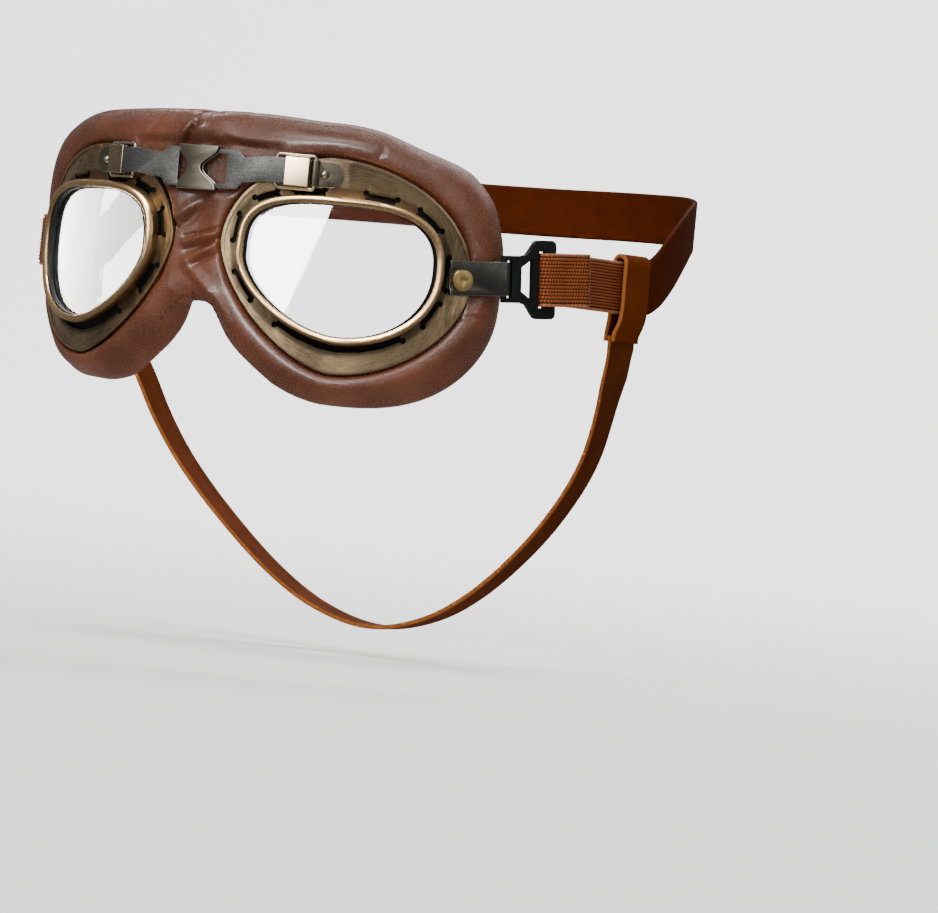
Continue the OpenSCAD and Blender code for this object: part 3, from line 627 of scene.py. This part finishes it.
def brushRound(obj, side):  # a seamless pattern that runs round the eye and is fine across it
    rows = vertexRows(obj.data) / mm
    wrap = eyeSet["wrap"]
    x, y = rows[:, 0] * side - eyeSet["x"], rows[:, 1]
    u = x * math.cos(wrap) + y * math.sin(wrap)
    v = rows[:, 2]
    depth = -x * math.sin(wrap) + y * math.cos(wrap)
    cu, cv = rimShape[5]
    angle = np.arctan2(v - cv, u - cu)
    reach = np.hypot(v - cv, u - cu)
    ru, rv = polar(rimShape, angle)
    beyond = reach - np.hypot(rv - cv, ru - cu)
    turns = brushSet["turns"]
    brush = np.stack([np.cos(angle) * turns, np.sin(angle) * turns, (beyond + depth) * brushSet["across"]], -1)
    store(obj.data, "brush", brush)
    store(obj.data, "edges", np.stack([beyond, depth, 0 * beyond], -1))


def makeHardware():
    shiny = {kind: [] for kind in cardSet["glow"]}
    kinds = {"lens": "lens", "lens_rim": "rim"}
    for side, _ in sides:
        for part, (finish, bevel, ring, edge) in hardware.items():
            node = f"{side}_{part}"
            obj = dressNode(node, shadedCopy.get(node, finish), bevel, ring, edge)
            if part not in ("vent_ring", "lens_gasket", "buckle"):
                shiny["band" if node == "left_bridge_band" else kinds.get(part, "metal")].append(obj)
    shiny["metal"].append(dressNode("bridge_clip", "clipMetal", 0.25, False, "wornSteel"))
    for kind, glow in cardSet["glow"].items():
        makeCards(kind + "Cards", shiny[kind], glow)
    print("hardware dressed")
    return shiny["rim"]


# Padded mask
maskSet = {"rings": 540, "fine": 7, "depth": 15.0, "crown": 1.35, "noseBlend": 9.0, "ventWall": 3.7, "flangeGap": 0.35,
           "edge": -1.55, "inset": 4.5, "armZ": 30.6, "armBand": (6.2, 10.5), "armEnd": (40, 48), "front": 66,
           "hem": (4, 48)}  # the columns of points that face forwards, and those near the hem
cheek = {1: ((0, 0.25), (12, 0), (28, -0.3), (34, -0.5), (42, 0), (258, 0), (275, 0.3), (291, 1.1), (304, 2.3),
             (318, 3), (332, 2.3), (345, 1.1), (360, 0.25)),  # degrees, drop in mm, for the left eye and the right one
         -1: ((0, 0.3), (12, -0.3), (24, -0.7), (37, -1.1), (50, -1.1), (62, -0.3), (75, 0), (235, 0), (255, 0.8),
              (270, 1.7), (283, 2.4), (295, 3.4), (305, 5.6), (317, 8.0), (328, 7.0), (340, 4.2), (350, 1.8),
              (360, 0.3))}
swell = {1: ((0, 0), (11, -0.5), (18, -1.2), (24, -0.5), (29, 0.7), (33, 0.9), (37, 0.5), (41, -0.4), (47, -1.9),
             (56, -3.0), (65, -2.2), (75, -0.9), (89, -0.2), (104, -0.5), (120, 0), (360, 0)),  # degrees, mm outwards
         -1: ((0, 0), (18, 0.3), (24, 0.6), (37, 0.9), (46, 1.0), (54, 0.5), (62, 0), (75, 0), (240, 0), (262, -1.3),
              (275, -2.2), (291, -2.4), (304, -3.0), (317, -3.8), (327, -3.4), (338, -1.6), (350, 0), (360, 0))}
noseRows = np.array([  # height, front and back of the nose leather at the midplane
    (-13.8, -8.4, -4), (-12.4, -10.2, -2.6), (-8.8, -11.2, -1.4), (-3, -11.6, -0.4), (6, -11.2, 0.4), (15, -10.6, 1),
    (22.6, -9.9, 1.6), (30.6, -9.7, 2), (36.6, -10, 2.4), (40.1, -11, 2.8), (42.7, -11.6, 2.6), (45.3, -10.8, 1.8),
    (47.2, -8.8, 0.2), (48.1, -6, -2)])
archRow = np.array([(0, -13.8), (3, -14.0), (5, -15.2), (6.5, -18.0), (8, -21.0), (10, -24.4), (12.5, -27.4),
                    (15, -29.9), (20, -34.0), (26, -38.5), (30, -60)])
armRow = np.array([(0, -9.9), (9, -9.9), (14, -9.6), (22, -8.4), (26.5, -7.8), (31, -8.2), (38, -5.5), (44, -2.0)])
folds = [  # lines in x and z, width, depth: a groove is positive, a ridge is negative
    ([(-3.6, 47.5), (-5.0, 43.6), (-7.2, 39.0), (-8.2, 36.6)], 0.6, 1.8),
    ([(-5.4, 45.5), (-7.4, 42.0), (-9.8, 37.6)], 1.2, -1.3), ([(0.0, 46.5), (-2.0, 42.0), (-3.6, 37.5)], 1.5, -1.0),
    ([(-9.2, 12.8), (-5.5, 14.6), (-2.0, 17.2), (4.8, 20.6)], 1.9, -1.5),
    ([(-10.1, 13.0), (-7.3, 9.4)], 0.7, 1.2),
    ([(-8.6, 8.6), (-5.7, 10.1), (-1.6, 14.3), (1.3, 19.1)], 1.5, 1.0),
    ([(-4.2, 6.8), (2.9, 8.6), (8.4, 10.1)], 0.7, 1.1), ([(-3.8, 4.9), (2.1, 7.0), (7.5, 8.4)], 1.2, -1.9),
    ([(-3.2, 2.5), (4.0, 4.6), (7.9, 6.6)], 1.0, 1.6), ([(-2.2, -0.9), (2.6, 1.7), (7.2, 4.6)], 1.3, -1.7),
    ([(0.2, -2.2), (4.2, 0.2), (8.6, 1.6)], 1.0, 1.2),
    ([(-3.0, -1.7), (2.2, -6.3), (9.3, -13.0), (14, -20)], 2.0, -1.4),
    ([(8.0, 39.3), (14.2, 37.7), (20.2, 37.4)], 1.4, 0.8),
    ([(67.2, 43.0), (68.8, 40.4), (69.6, 37.6)], 1.0, 0.9), ([(74.2, 40.4), (75.4, 37.6), (75.8, 35.0)], 1.0, 0.8),
    ([(56.2, 43.0), (56.8, 39.6), (55.6, 37.4)], 1.0, 0.8), ([(88.0, -13.4), (84.0, -11.2), (79.0, -11.4)], 1.1, 0.8),
    ([(-20.0, 49.0), (-20.6, 44.0), (-22.0, 41.5)], 1.1, 0.5),
    ([(-66.0, 40.0), (-62.0, 37.5), (-60.0, 34.0)], 1.2, 0.7)]
hemRow = [(-11.5, -20.3), (-9.2, -17.4), (-6.6, -14.6), (-3.4, -12.6), (0.2, -12.3), (3.6, -12.9), (6.4, -14.9),
          (8.6, -18.6)]
hemSet = {"Pitch": 2.1, "Length": 1.5, "Width": 0.42, "Seed": 4}


def blurred(row):  # smoothed round the closed outline
    count = len(row)
    kernel = np.exp(-0.5 * (np.arange(-20, 21) / (count / 90)) ** 2)
    kernel /= kernel.sum()
    return np.convolve(np.tile(row, 3), kernel, "same")[count:2 * count]


def maskHalf(side):
    s = maskSet
    count = s["rings"]
    angle = np.arange(count) * 2 * math.pi / count
    fu, fv = polar(flangeShape, angle)
    mu, mv = polar(maskShape, angle)
    wu, wv = polar(wideMask, angle)
    nose = np.cos(angle) < 0
    mu, mv = np.where(nose, wu, mu), np.where(nose, wv, mv)
    grow, droop = (blurred(np.interp(np.degrees(angle), *zip(*rows[side]))) for rows in (swell, cheek))
    mu, mv = mu + grow * np.cos(angle), mv + grow * np.sin(angle)
    low, high = np.zeros(count), np.ones(count)
    for _ in range(24):  # how far each line from the flange runs before it leaves the mask
        mid = (low + high) / 2
        u, v = fu + (mu - fu) * mid, fv + (mv - fv) * mid
        x = onEye(u, v, -8.0)[:, 0]
        inside = (x > 0) & (v > np.interp(x, archRow[:, 0], archRow[:, 1], right=-80))
        inside &= insideShape(wideMask, u, v) & ((x < 12) | insideShape(maskShape, u, v))
        low, high = np.where(inside, mid, low), np.where(inside, high, mid)
    mu, mv = fu + (mu - fu) * low, fv + (mv - fv) * low
    met = blurred((onEye(mu, mv, -8.0)[:, 0] < 0.4).astype(float))  # 1 where the halves meet
    free = 1 - met
    tab = np.exp(-(np.degrees(np.minimum(angle, 2 * math.pi - angle)) / 13) ** 2)
    depth = s["depth"]
    top = s["crown"] * (1 - tab) - 0.9 * tab
    # share of the way out free and met, height, drop over the cheek, how far back at the midplane free and met
    roll = [(0.05, 0.05, -0.9, 0, 0, 0), (0.14, 0.14, top - 0.35, 0.1, 0, 0),
            (0.32, 0.32, top + 0.35 * free, 0.35, 0, 0), (0.5, 0.54, top - 0.2 * free, 0.65, 0, 0),
            (0.68, 0.76, top - 1.7 * free, 0.95, 0, 0), (0.84, 0.92, top - 3.9 * free, 1, 0, 0),
            (0.955, 1, top - 6.3 * free, 1, 0.12, 0),
            (1, 1, -0.58 * depth, 0.6, 0.5, 0.4), (0.97, 1, -0.74 * depth, 0.4, 0.8, 0.9),
            (0.86, 0.9, -0.86 * depth, 0.2, 1, 1), (0.68, 0.7, -0.96 * depth, 0, 1, 1),
            (0.4, 0.4, -1.01 * depth, 0, 1, 1)]
    ru, rv = polar(rimShape, angle, s["ventWall"] + s["flangeGap"])
    eu, ev = polar(flangeShape, angle, s["flangeGap"])
    edge = np.full(count, s["edge"])
    columns, backs = [onWall(ru, rv, edge), onWall(eu, ev, edge)], [0 * edge, 0 * edge]
    for out, outMet, height, fall, back, backMet in roll:
        share = out * free + outMet * met
        p = onEye(fu + (mu - fu) * share, fv + (mv - fv) * share, height - fall * droop)
        if outMet == 1:
            p[:, 0] *= 1 - ease(met, 0.4, 0.9)
        columns.append(p)
        backs.append(back * free + backMet * met)
    iu, iv = polar(rimShape, angle, s["inset"])
    for height, back in ((-depth, 1), (-depth * 0.82, 1), (-depth * 0.45, 0.6)):
        columns.append(onEye(iu, iv, np.full(count, height)))
        backs.append(np.full(count, back))
    rings = np.stack(columns, 1)
    rings[:, 2:, 0] = np.maximum(rings[:, 2:, 0], 0)
    backs = np.stack(backs, 1)
    steps = s["fine"]
    marks = np.concatenate([[0], np.arange((len(columns) - 2) * steps + 1) / steps + 1])
    back = np.stack([np.interp(marks, np.arange(len(columns)), row) for row in backs])
    rings = np.concatenate([rings[:, :1], [smoothRow(r, steps) for r in rings[:, 1:]]], 1)
    rings[..., 0] = np.maximum(rings[..., 0], 0)
    rings[:, 2:] = towardNose(rings[:, 2:], back[:, 2:])
    return pressFolds(rings, side)


def towardNose(p, back):
    near = 1 - ease(p[..., 0], 0.0, maskSet["noseBlend"])
    front = np.interp(p[..., 2], noseRows[:, 0], noseRows[:, 1])
    rear = np.interp(p[..., 2], noseRows[:, 0], noseRows[:, 2])
    p[..., 1] += (front + (rear - front) * back - p[..., 1]) * near
    behind = np.interp(p[..., 0], armRow[:, 0], armRow[:, 1])  # stays behind the bridge's arms and clip
    level = 1 - ease(np.abs(p[..., 2] - maskSet["armZ"]), *maskSet["armBand"])
    level = level * (1 - ease(p[..., 0], *maskSet["armEnd"])) * (back < 0.3)
    p[..., 1] += (np.maximum(p[..., 1], behind) - p[..., 1]) * level
    return p


def pressFolds(rings, side):
    x, z = rings[..., 0] * side, rings[..., 2]
    foremost = rings[:, 2:maskSet["front"], 1].min(axis=1)[:, None]
    front = 1 - ease(rings[..., 1] - foremost, 5.0, 11.0)
    front[:, :3] = 0
    push = np.zeros(x.shape)
    for line, width, depth in folds:
        rows = smoothRow(line, 6)
        near, share = np.full(x.shape, 1e9), np.zeros(x.shape)
        for k in range(len(rows) - 1):
            (ax, az), (bx, bz) = rows[k], rows[k + 1]
            dx, dz = bx - ax, bz - az
            t = np.clip(((x - ax) * dx + (z - az) * dz) / (dx * dx + dz * dz), 0, 1)
            gap = np.hypot(x - ax - t * dx, z - az - t * dz)
            share = np.where(gap < near, (k + t) / (len(rows) - 1), share)
            near = np.minimum(near, gap)
        push += depth * np.exp(-(near / width) ** 2) * (0.35 + 0.65 * np.sin(math.pi * np.clip(share, 0.08, 0.92)))
    rings[..., 1] += push * front
    return rings


def stitchRig():  # stitches laid along a line, each turned to the surface it lies on
    rig = Rig("stitchRow", {"Pitch": 2.0, "Length": 1.5, "Width": 0.4, "Seed": 1})
    line = rig.node("GeometryNodeMeshToCurve", {}, {"Mesh": rig.given("Geometry")})
    pitch = rig.given("Pitch") * mm
    spots = rig.node("GeometryNodeResampleCurve", {"mode": "LENGTH"}, {"Curve": line, "Length": pitch})
    tangent = rig.node("GeometryNodeInputTangent")
    outward = rig.node("GeometryNodeInputNamedAttribute", {"data_type": "FLOAT_VECTOR"}, {"Name": "outward"})
    turn = rig.node("FunctionNodeAlignRotationToVector", {"axis": "Z"}, {"Vector": outward})
    turn = rig.node("FunctionNodeAlignRotationToVector", {"axis": "X", "pivot_axis": "Z"},
                    {"Rotation": turn, "Vector": tangent})
    change = rig.node("FunctionNodeRandomValue", {"data_type": "FLOAT"},
                      {2: 0.85, 3: 1.15, "Seed": rig.given("Seed")}, out=1)
    half = rig.given("Width") * (mm / 2)
    size = rig.node("ShaderNodeCombineXYZ", {}, [rig.given("Length") * (mm / 2) * change, half, half])
    stitch = rig.node("GeometryNodeMeshUVSphere", {}, {"Segments": 6, "Rings": 4, "Radius": 1.0})
    return rig.finish(rig.node("GeometryNodeInstanceOnPoints", {}, {"Points": spots, "Instance": stitch,
                                                                    "Rotation": turn, "Scale": size}))


def makeMask():
    pads = []
    for name, side in sides:
        rings = maskHalf(side)
        rings[..., 0] *= side
        pad = gridPiece(f"{name}_leatherPad", rings, "brownLeather", closedRings=True)
        pad.data.set_sharp_from_angle(angle=math.radians(70))
        hem = [spot for spot in hemRow if spot[0] * side > 0]
        pad = joined(pad, hemStitches(f"{name}_hemStitches", hem, rings))
        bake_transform(pad)
        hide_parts(*([f"{name}_cushion", "nose_leather"] if side > 0 else [f"{name}_cushion"]))
        pads.append(pad)
    print("mask made")
    return pads


def hemStitches(name, line, rings):  # on the leather's front just above the arch
    first, last = maskSet["hem"]
    spots = rings[:, first:last].reshape(-1, 3)
    points = []
    for x, z in smoothRow(line, 5):
        gap = np.hypot(spots[:, 0] - x, spots[:, 2] - z) + np.where(spots[:, 1] < -1, 0, 50)
        y = spots[np.argsort(gap)[:3], 1].mean()
        points.append((x, y - 0.3, z))
    return grown(name, points, [(0, -0.9, -0.4)] * len(points), stitches, "stitchThread", hemSet)


# Straps
strapSet = {"width": 17.8, "thick": 1.6, "core": 0.7, "level": 4.6, "coarse": 13, "fine": 15, "selvedge": 1.5,
            "lift": 0.38, "close": 0.9, "barRow": 28, "cutRow": 55}  # the rows at the bar and past the front ply's end
cordSizes = {"coarse": {"Radius": 0.5, "Pitch": 1.05, "Bead": 0.17, "Step": 0.26},
             "fine": {"Radius": 0.42, "Pitch": 0.9, "Bead": 0.08, "Step": 0.45},
             "selvedge": {"Radius": 0.62, "Pitch": 1.6, "Bead": 0.04, "Step": 0.6}}
seamSet = {"Pitch": 1.0, "Length": 0.95, "Width": 0.4, "Seed": 9}
chinSet = {"width": 13.6, "thick": 1.5, "loopWidth": 13.8, "loopThick": 1.4, "loopTurn": math.radians(76),
           "loopAt": (106.9, 97.5), "lapIn": 1.6, "lapLow": -13.5, "lapTop": -11.2, "lapGap": 0.25}
buckleSet = {"rivetU": 42.9, "rivetZ": 0.7, "tabZ": 0.8, "tabLength": 15.8, "pin": 1.1, "run": 0.06, "seat": 0.05,
             "turn": math.radians(8), "lift": math.radians(4.5), "length": 19.6, "bar": 4.2, "soft": 0.35,
             "step": 31.8, "bends": (20.6, 31.5, 34.5)}  # where the seam's stitches lie and the webbing bends
strapRow = [(100.9, 63), (103.1, 74), (105.1, 86), (107.3, 99)]
bandRow = [(107.3, 99.4, 4.6), (108.8, 106, 5.2), (109.8, 115, 10), (109.7, 127, 19.4), (107.9, 139, 26.5),
           (104, 151, 29.5), (97, 165, 31), (86, 180, 32.5), (69, 196, 33.5), (48, 207, 34), (24, 213.5, 34),
           (0, 215.5, 34)]
chinRow = [(103.9, 100.8, -17.4), (99.6, 108.2, -24.5), (93.5, 117.5, -34.5), (85.8, 124.5, -53.5), (76, 129, -69.5),
           (61, 134, -87), (41.5, 138, -104.5), (22, 140.5, -116), (0, 141.5, -121)]


def mirrored(rows):
    return list(rows) + [(-x, y, z) for x, y, z in rows[-2::-1]]


def buckleSpot(x, y, z=0.0):
    s = buckleSet
    origin = onEye(s["rivetU"], s["rivetZ"], 0.0)
    yaw = eyeSet["wrap"] + math.asin(s["rivetU"] / eyeSet["radius"])
    bx = s["tabLength"] + x * math.cos(s["turn"]) - y * math.sin(s["turn"])
    by = s["pin"] + s["run"] - 2 * s["seat"] + x * math.sin(s["turn"]) + y * math.cos(s["turn"])
    bz = s["tabZ"] + z
    lx = bx * math.cos(s["lift"]) - bz * math.sin(s["lift"])
    lz = bx * math.sin(s["lift"]) + bz * math.cos(s["lift"])
    return np.array([origin[0] + lx * math.cos(yaw) - by * math.sin(yaw),
                     origin[1] + lx * math.sin(yaw) + by * math.cos(yaw), origin[2] + lz])


def loopSpot(s, f, z):
    turn = chinSet["loopTurn"]
    x, y = chinSet["loopAt"]
    return np.array([x + s * math.cos(turn) + f * math.sin(turn), y + s * math.sin(turn) - f * math.cos(turn), z])


def evenly(rows, step):
    gone = np.concatenate([[0], np.cumsum(np.linalg.norm(np.diff(rows[:, :3], axis=0), axis=1))])
    marks = np.linspace(0, gone[-1], max(2, int(gone[-1] / step)) + 1)
    return np.stack([np.interp(marks, gone, rows[:, k]) for k in range(rows.shape[1])], -1), marks


def ribbonWays(points, widthWays, soften=0, square=1.0):  # unit vectors across the ribbon and out of its face
    p = np.asarray(points, float)
    ahead = np.gradient(p, axis=0)
    if soften:
        kernel = np.hanning(2 * soften + 3)[1:-1]
        padded = np.pad(ahead, ((soften, soften), (0, 0)), "edge")
        ahead = np.stack([np.convolve(padded[:, k], kernel / kernel.sum(), "valid") for k in range(3)], 1)
    ahead /= np.linalg.norm(ahead, axis=1)[:, None]
    side = np.asarray(widthWays, float)
    side = side - ahead * ((side * ahead).sum(1) * square)[:, None]
    side /= np.linalg.norm(side, axis=1)[:, None]
    out = np.cross(ahead, side)
    return side, out / np.linalg.norm(out, axis=1)[:, None]


def strapPiece(name, points, ways, width, thick, finish, step=0.8, across=28, soften=0, slant=None):
    rows, marks = evenly(np.concatenate([np.asarray(points, float), np.asarray(ways, float)], 1), step)
    p = rows[:, :3]
    square = 1.0 if slant is None else 1 - ease(p[:, 2], *slant)
    side, out = ribbonWays(p, rows[:, 3:], soften, square)
    edge = thick / 2 * 0.7  # how far in its edge is rounded
    ring = []
    for s in np.linspace(-0.5, 0.5, across + 1):
        inset = max(0.0, abs(s) * width - (width / 2 - edge))
        ring.append((s, 0.5 * max(math.sqrt(max(0.0, 1 - (inset / edge) ** 2)), 0.35)))
    ring = ring + [(s, -t) for s, t in ring[::-1]]
    rings = np.stack([p + side * (width * s) + out * (thick * t) for s, t in ring], 1)
    weave = np.zeros(rings.shape)
    weave[..., 0] = np.array([s + 0.5 for s, _ in ring])[None]
    weave[..., 1] = marks[:, None]
    return gridPiece(name, rings, finish, caps=True, weave=weave)


def cordRig():  # a beaded cord along each line, for the ribs and edges of the webbing
    rig = Rig("beadedCords", {"Radius": 0.4, "Pitch": 1.2, "Bead": 0.2, "Step": 0.3})
    line = rig.node("GeometryNodeMeshToCurve", {}, {"Mesh": rig.given("Geometry")})
    line = rig.node("GeometryNodeResampleCurve", {"mode": "LENGTH"}, {"Curve": line, "Length": rig.given("Step") * mm})
    run = rig.node("GeometryNodeSplineParameter", out=1) / mm
    row = rig.node("GeometryNodeInputNamedAttribute", {"data_type": "FLOAT_VECTOR"}, {"Name": "outward"})
    wave = (run * (2 * math.pi) / rig.given("Pitch") + row.part(0) * 40).sine()
    # stored for the finish, which paints the bead crests lighter: painted highlight
    bead = rig.node("ShaderNodeCombineXYZ", {}, [wave * 0.5 + 0.5, run, 0.0])
    line = rig.node("GeometryNodeStoreNamedAttribute", {"data_type": "FLOAT_VECTOR", "domain": "POINT"},
                    {"Geometry": line, "Name": "bead", "Value": bead})
    line = rig.node("GeometryNodeSetCurveRadius", {}, {"Curve": line, "Radius": wave * rig.given("Bead") + 1})
    ring = rig.node("GeometryNodeCurvePrimitiveCircle", {}, {"Resolution": 6, "Radius": rig.given("Radius") * mm})
    tube = rig.node("GeometryNodeCurveToMesh", {}, {"Curve": line, "Profile Curve": ring,
                                                    "Scale": wave * rig.given("Bead") + 1, "Fill Caps": True})
    return rig.finish(tube)


def cordLines(rows, places, lift):  # lines along the ribbon at these distances from its middle
    rows, _ = evenly(rows, 0.5)
    side, out = ribbonWays(rows[:, :3], rows[:, 3:])
    return [rows[:, :3] + side * at + out * lift for at in places]


def elasticRoute():
    s = buckleSet
    thick = strapSet["thick"]
    off = s["pin"] + s["soft"] + thick / 2
    close = strapSet["close"]
    tip = s["length"]
    bar = tip - s["bar"]
    turn = bar - s["soft"] - thick / 2
    end = tip + 13
    front = [(end, -close - 0.4), (end - 4, -close - 0.3), (tip + 4, -close - 0.2), (tip + 0.5, -off), (tip - 2, -off),
             (bar + 0.8, -off), (turn + 0.35, -off * 0.72), (turn, 0), (turn + 0.35, off * 0.72), (bar + 0.8, off),
             (tip - 2, off), (tip + 0.5, off), (tip + 4, close)]
    route = [buckleSpot(x, y) for x, y in front]
    route += [np.array((x, y, strapSet["level"])) for x, y in strapRow]
    tilt = buckleSpot(0, 0, 1) - buckleSpot(0, 0, 0)
    up = np.array((0, 0, 1.0))
    ways = [tilt] * len(front) + [tilt + (up - tilt) * k for k in (0.3, 0.6, 0.85, 1)]
    return smoothRow(np.concatenate([route, ways], 1), 4)


def webLength(title, rows, plies):  # the ground, the cords of each ply and the selvedges along these rows
    s = strapSet
    inner = s["width"] - 2 * s["selvedge"]
    piece = strapPiece(title, rows[:, :3], rows[:, 3:], s["width"] - 1.4, s["core"], "tanGround", 0.8, 10)
    parts = []
    for ply, kind, finish in plies:
        size = cordSizes[kind]
        spread = np.linspace(-0.5, 0.5, s[kind]) * (inner - 2 * size["Radius"])
        lines = [line for face in (-1, 1) for line in cordLines(ply, spread, face * s["lift"])]
        parts.append(grown(f"{title}_{kind}Cords", lines, None, cords, finish, size))
    edge = cordSizes["selvedge"]
    out = s["width"] / 2 - edge["Radius"]
    parts.append(grown(f"{title}_selvedges", cordLines(rows, [-out, out], 0.0), None, cords, "tanSelvedge", edge))
    return piece, parts


def makeElastic(name, side):  # the fold round the bar and the length behind it, made as two pieces
    flip = np.array([side, 1, 1])
    rows = elasticRoute() * np.tile(flip, 2)
    bar, cut = strapSet["barRow"], strapSet["cutRow"]
    fold, parts = webLength(f"{name}_webbingFold", rows[:cut + 1], ((rows[:bar + 1], "coarse", "tanCord"),
                                                                    (rows[bar:cut + 1], "fine", "tanFineCord")))
    x, y = buckleSet["step"], -strapSet["close"] - 0.4 - 0.75
    seam = [buckleSpot(x + 0.25 * math.sin(z * 2.1), y, z) for z in np.linspace(-8, 8, 33)]
    outward = buckleSpot(x, -5) - buckleSpot(x, 0)
    outward = outward / np.linalg.norm(outward) * flip
    parts.append(grown(f"{name}_stepStitches", np.array(seam) * flip, [tuple(outward)] * len(seam), stitches,
                       "stitchThread", seamSet))
    fold = joined(fold, *parts)
    rear, parts = webLength(f"{name}_elasticWebbing", rows[cut:], ((rows[cut:], "fine", "tanFineCord"),))
    rear = joined(rear, *parts)
    spots = [buckleSpot(x, 0) * flip * mm for x in buckleSet["bends"]]
    spots.append(np.array((*strapRow[2], strapSet["level"])) * flip * mm)
    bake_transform(fold)
    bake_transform(rear)
    for piece in (fold, rear):
        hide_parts(f"{name}_elastic")


def makeStraps():
    for name, side in sides:
        makeElastic(name, side)
        makeChinLoop(name, side)
    band = smoothRow(mirrored(bandRow), 6)
    piece = strapPiece("headBand", band, [(0, 0, 1)] * len(band), strapSet["width"], strapSet["thick"], "brownBand",
                       1.5)
    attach(piece, "nose_bridge")
    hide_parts("head_band")
    makeChinStrap()
    print("straps made")


def makeChinLoop(name, side):
    s = chinSet
    half = strapSet["thick"] / 2 + 1 + s["loopThick"] / 2
    tail = s["thick"] / 2 + s["lapGap"] + s["loopThick"] / 2
    top = strapSet["level"] + strapSet["width"] / 2 - 0.6
    low = strapSet["level"] - strapSet["width"] / 2 - 0.4
    arch = [(half * math.cos(a), top + half * math.sin(a)) for a in np.radians(np.arange(0, 181, 30))]
    inner, outer = tail - s["lapIn"], -tail - s["lapIn"]
    path = [(inner, s["lapLow"]), (inner, s["lapTop"]), (half, low), (half, top - 4)] + arch
    path += [(-half, top - 4), (-half, low), (outer, s["lapTop"]), (outer, s["lapLow"])]
    points = smoothRow([loopSpot(0, x, z) for x, z in path], 5) * np.array([side, 1, 1])
    way = np.array((math.cos(s["loopTurn"]) * side, math.sin(s["loopTurn"]), 0))
    piece = strapPiece(f"{name}_suedeLoop", points, [way] * len(points), s["loopWidth"], s["loopThick"], "suede", 0.8)
    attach(piece, "chin_loops")
    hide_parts(f"{name}_chin_loop")


def makeChinStrap():
    s = chinSet
    lap = [loopSpot(-0.4, -s["lapIn"], s["lapTop"] - 0.4), loopSpot(0.2, -s["lapIn"] - 0.1, s["lapLow"] - 0.4)]
    route = smoothRow(mirrored(lap + chinRow), 6)
    lean = math.cos(s["loopTurn"])
    k = np.clip(1 + (route[:, 2] - s["lapLow"] + 2) / 14, 0, 1)
    ways = np.stack([np.sign(route[:, 0]) * k * lean, np.full(len(route), math.sin(s["loopTurn"])), 0 * k], -1)
    piece = strapPiece("chinWebbing", route, ways, s["width"], s["thick"], "chinWebbing", 1.0, soften=7,
                       slant=(-34, -16))
    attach(piece, "chin_strap")
    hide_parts("chin_webbing")


makeCamera()
makeLamps()
makePaper()
finishes = {name: make(name, *values) for name, (make, *values) in looks.items()}
print("finishes made")
cords, stitches = cordRig(), stitchRig()
shineOn("crownLight", makeHardware())
shineOn("stripLight", makeMask())
makeStraps()
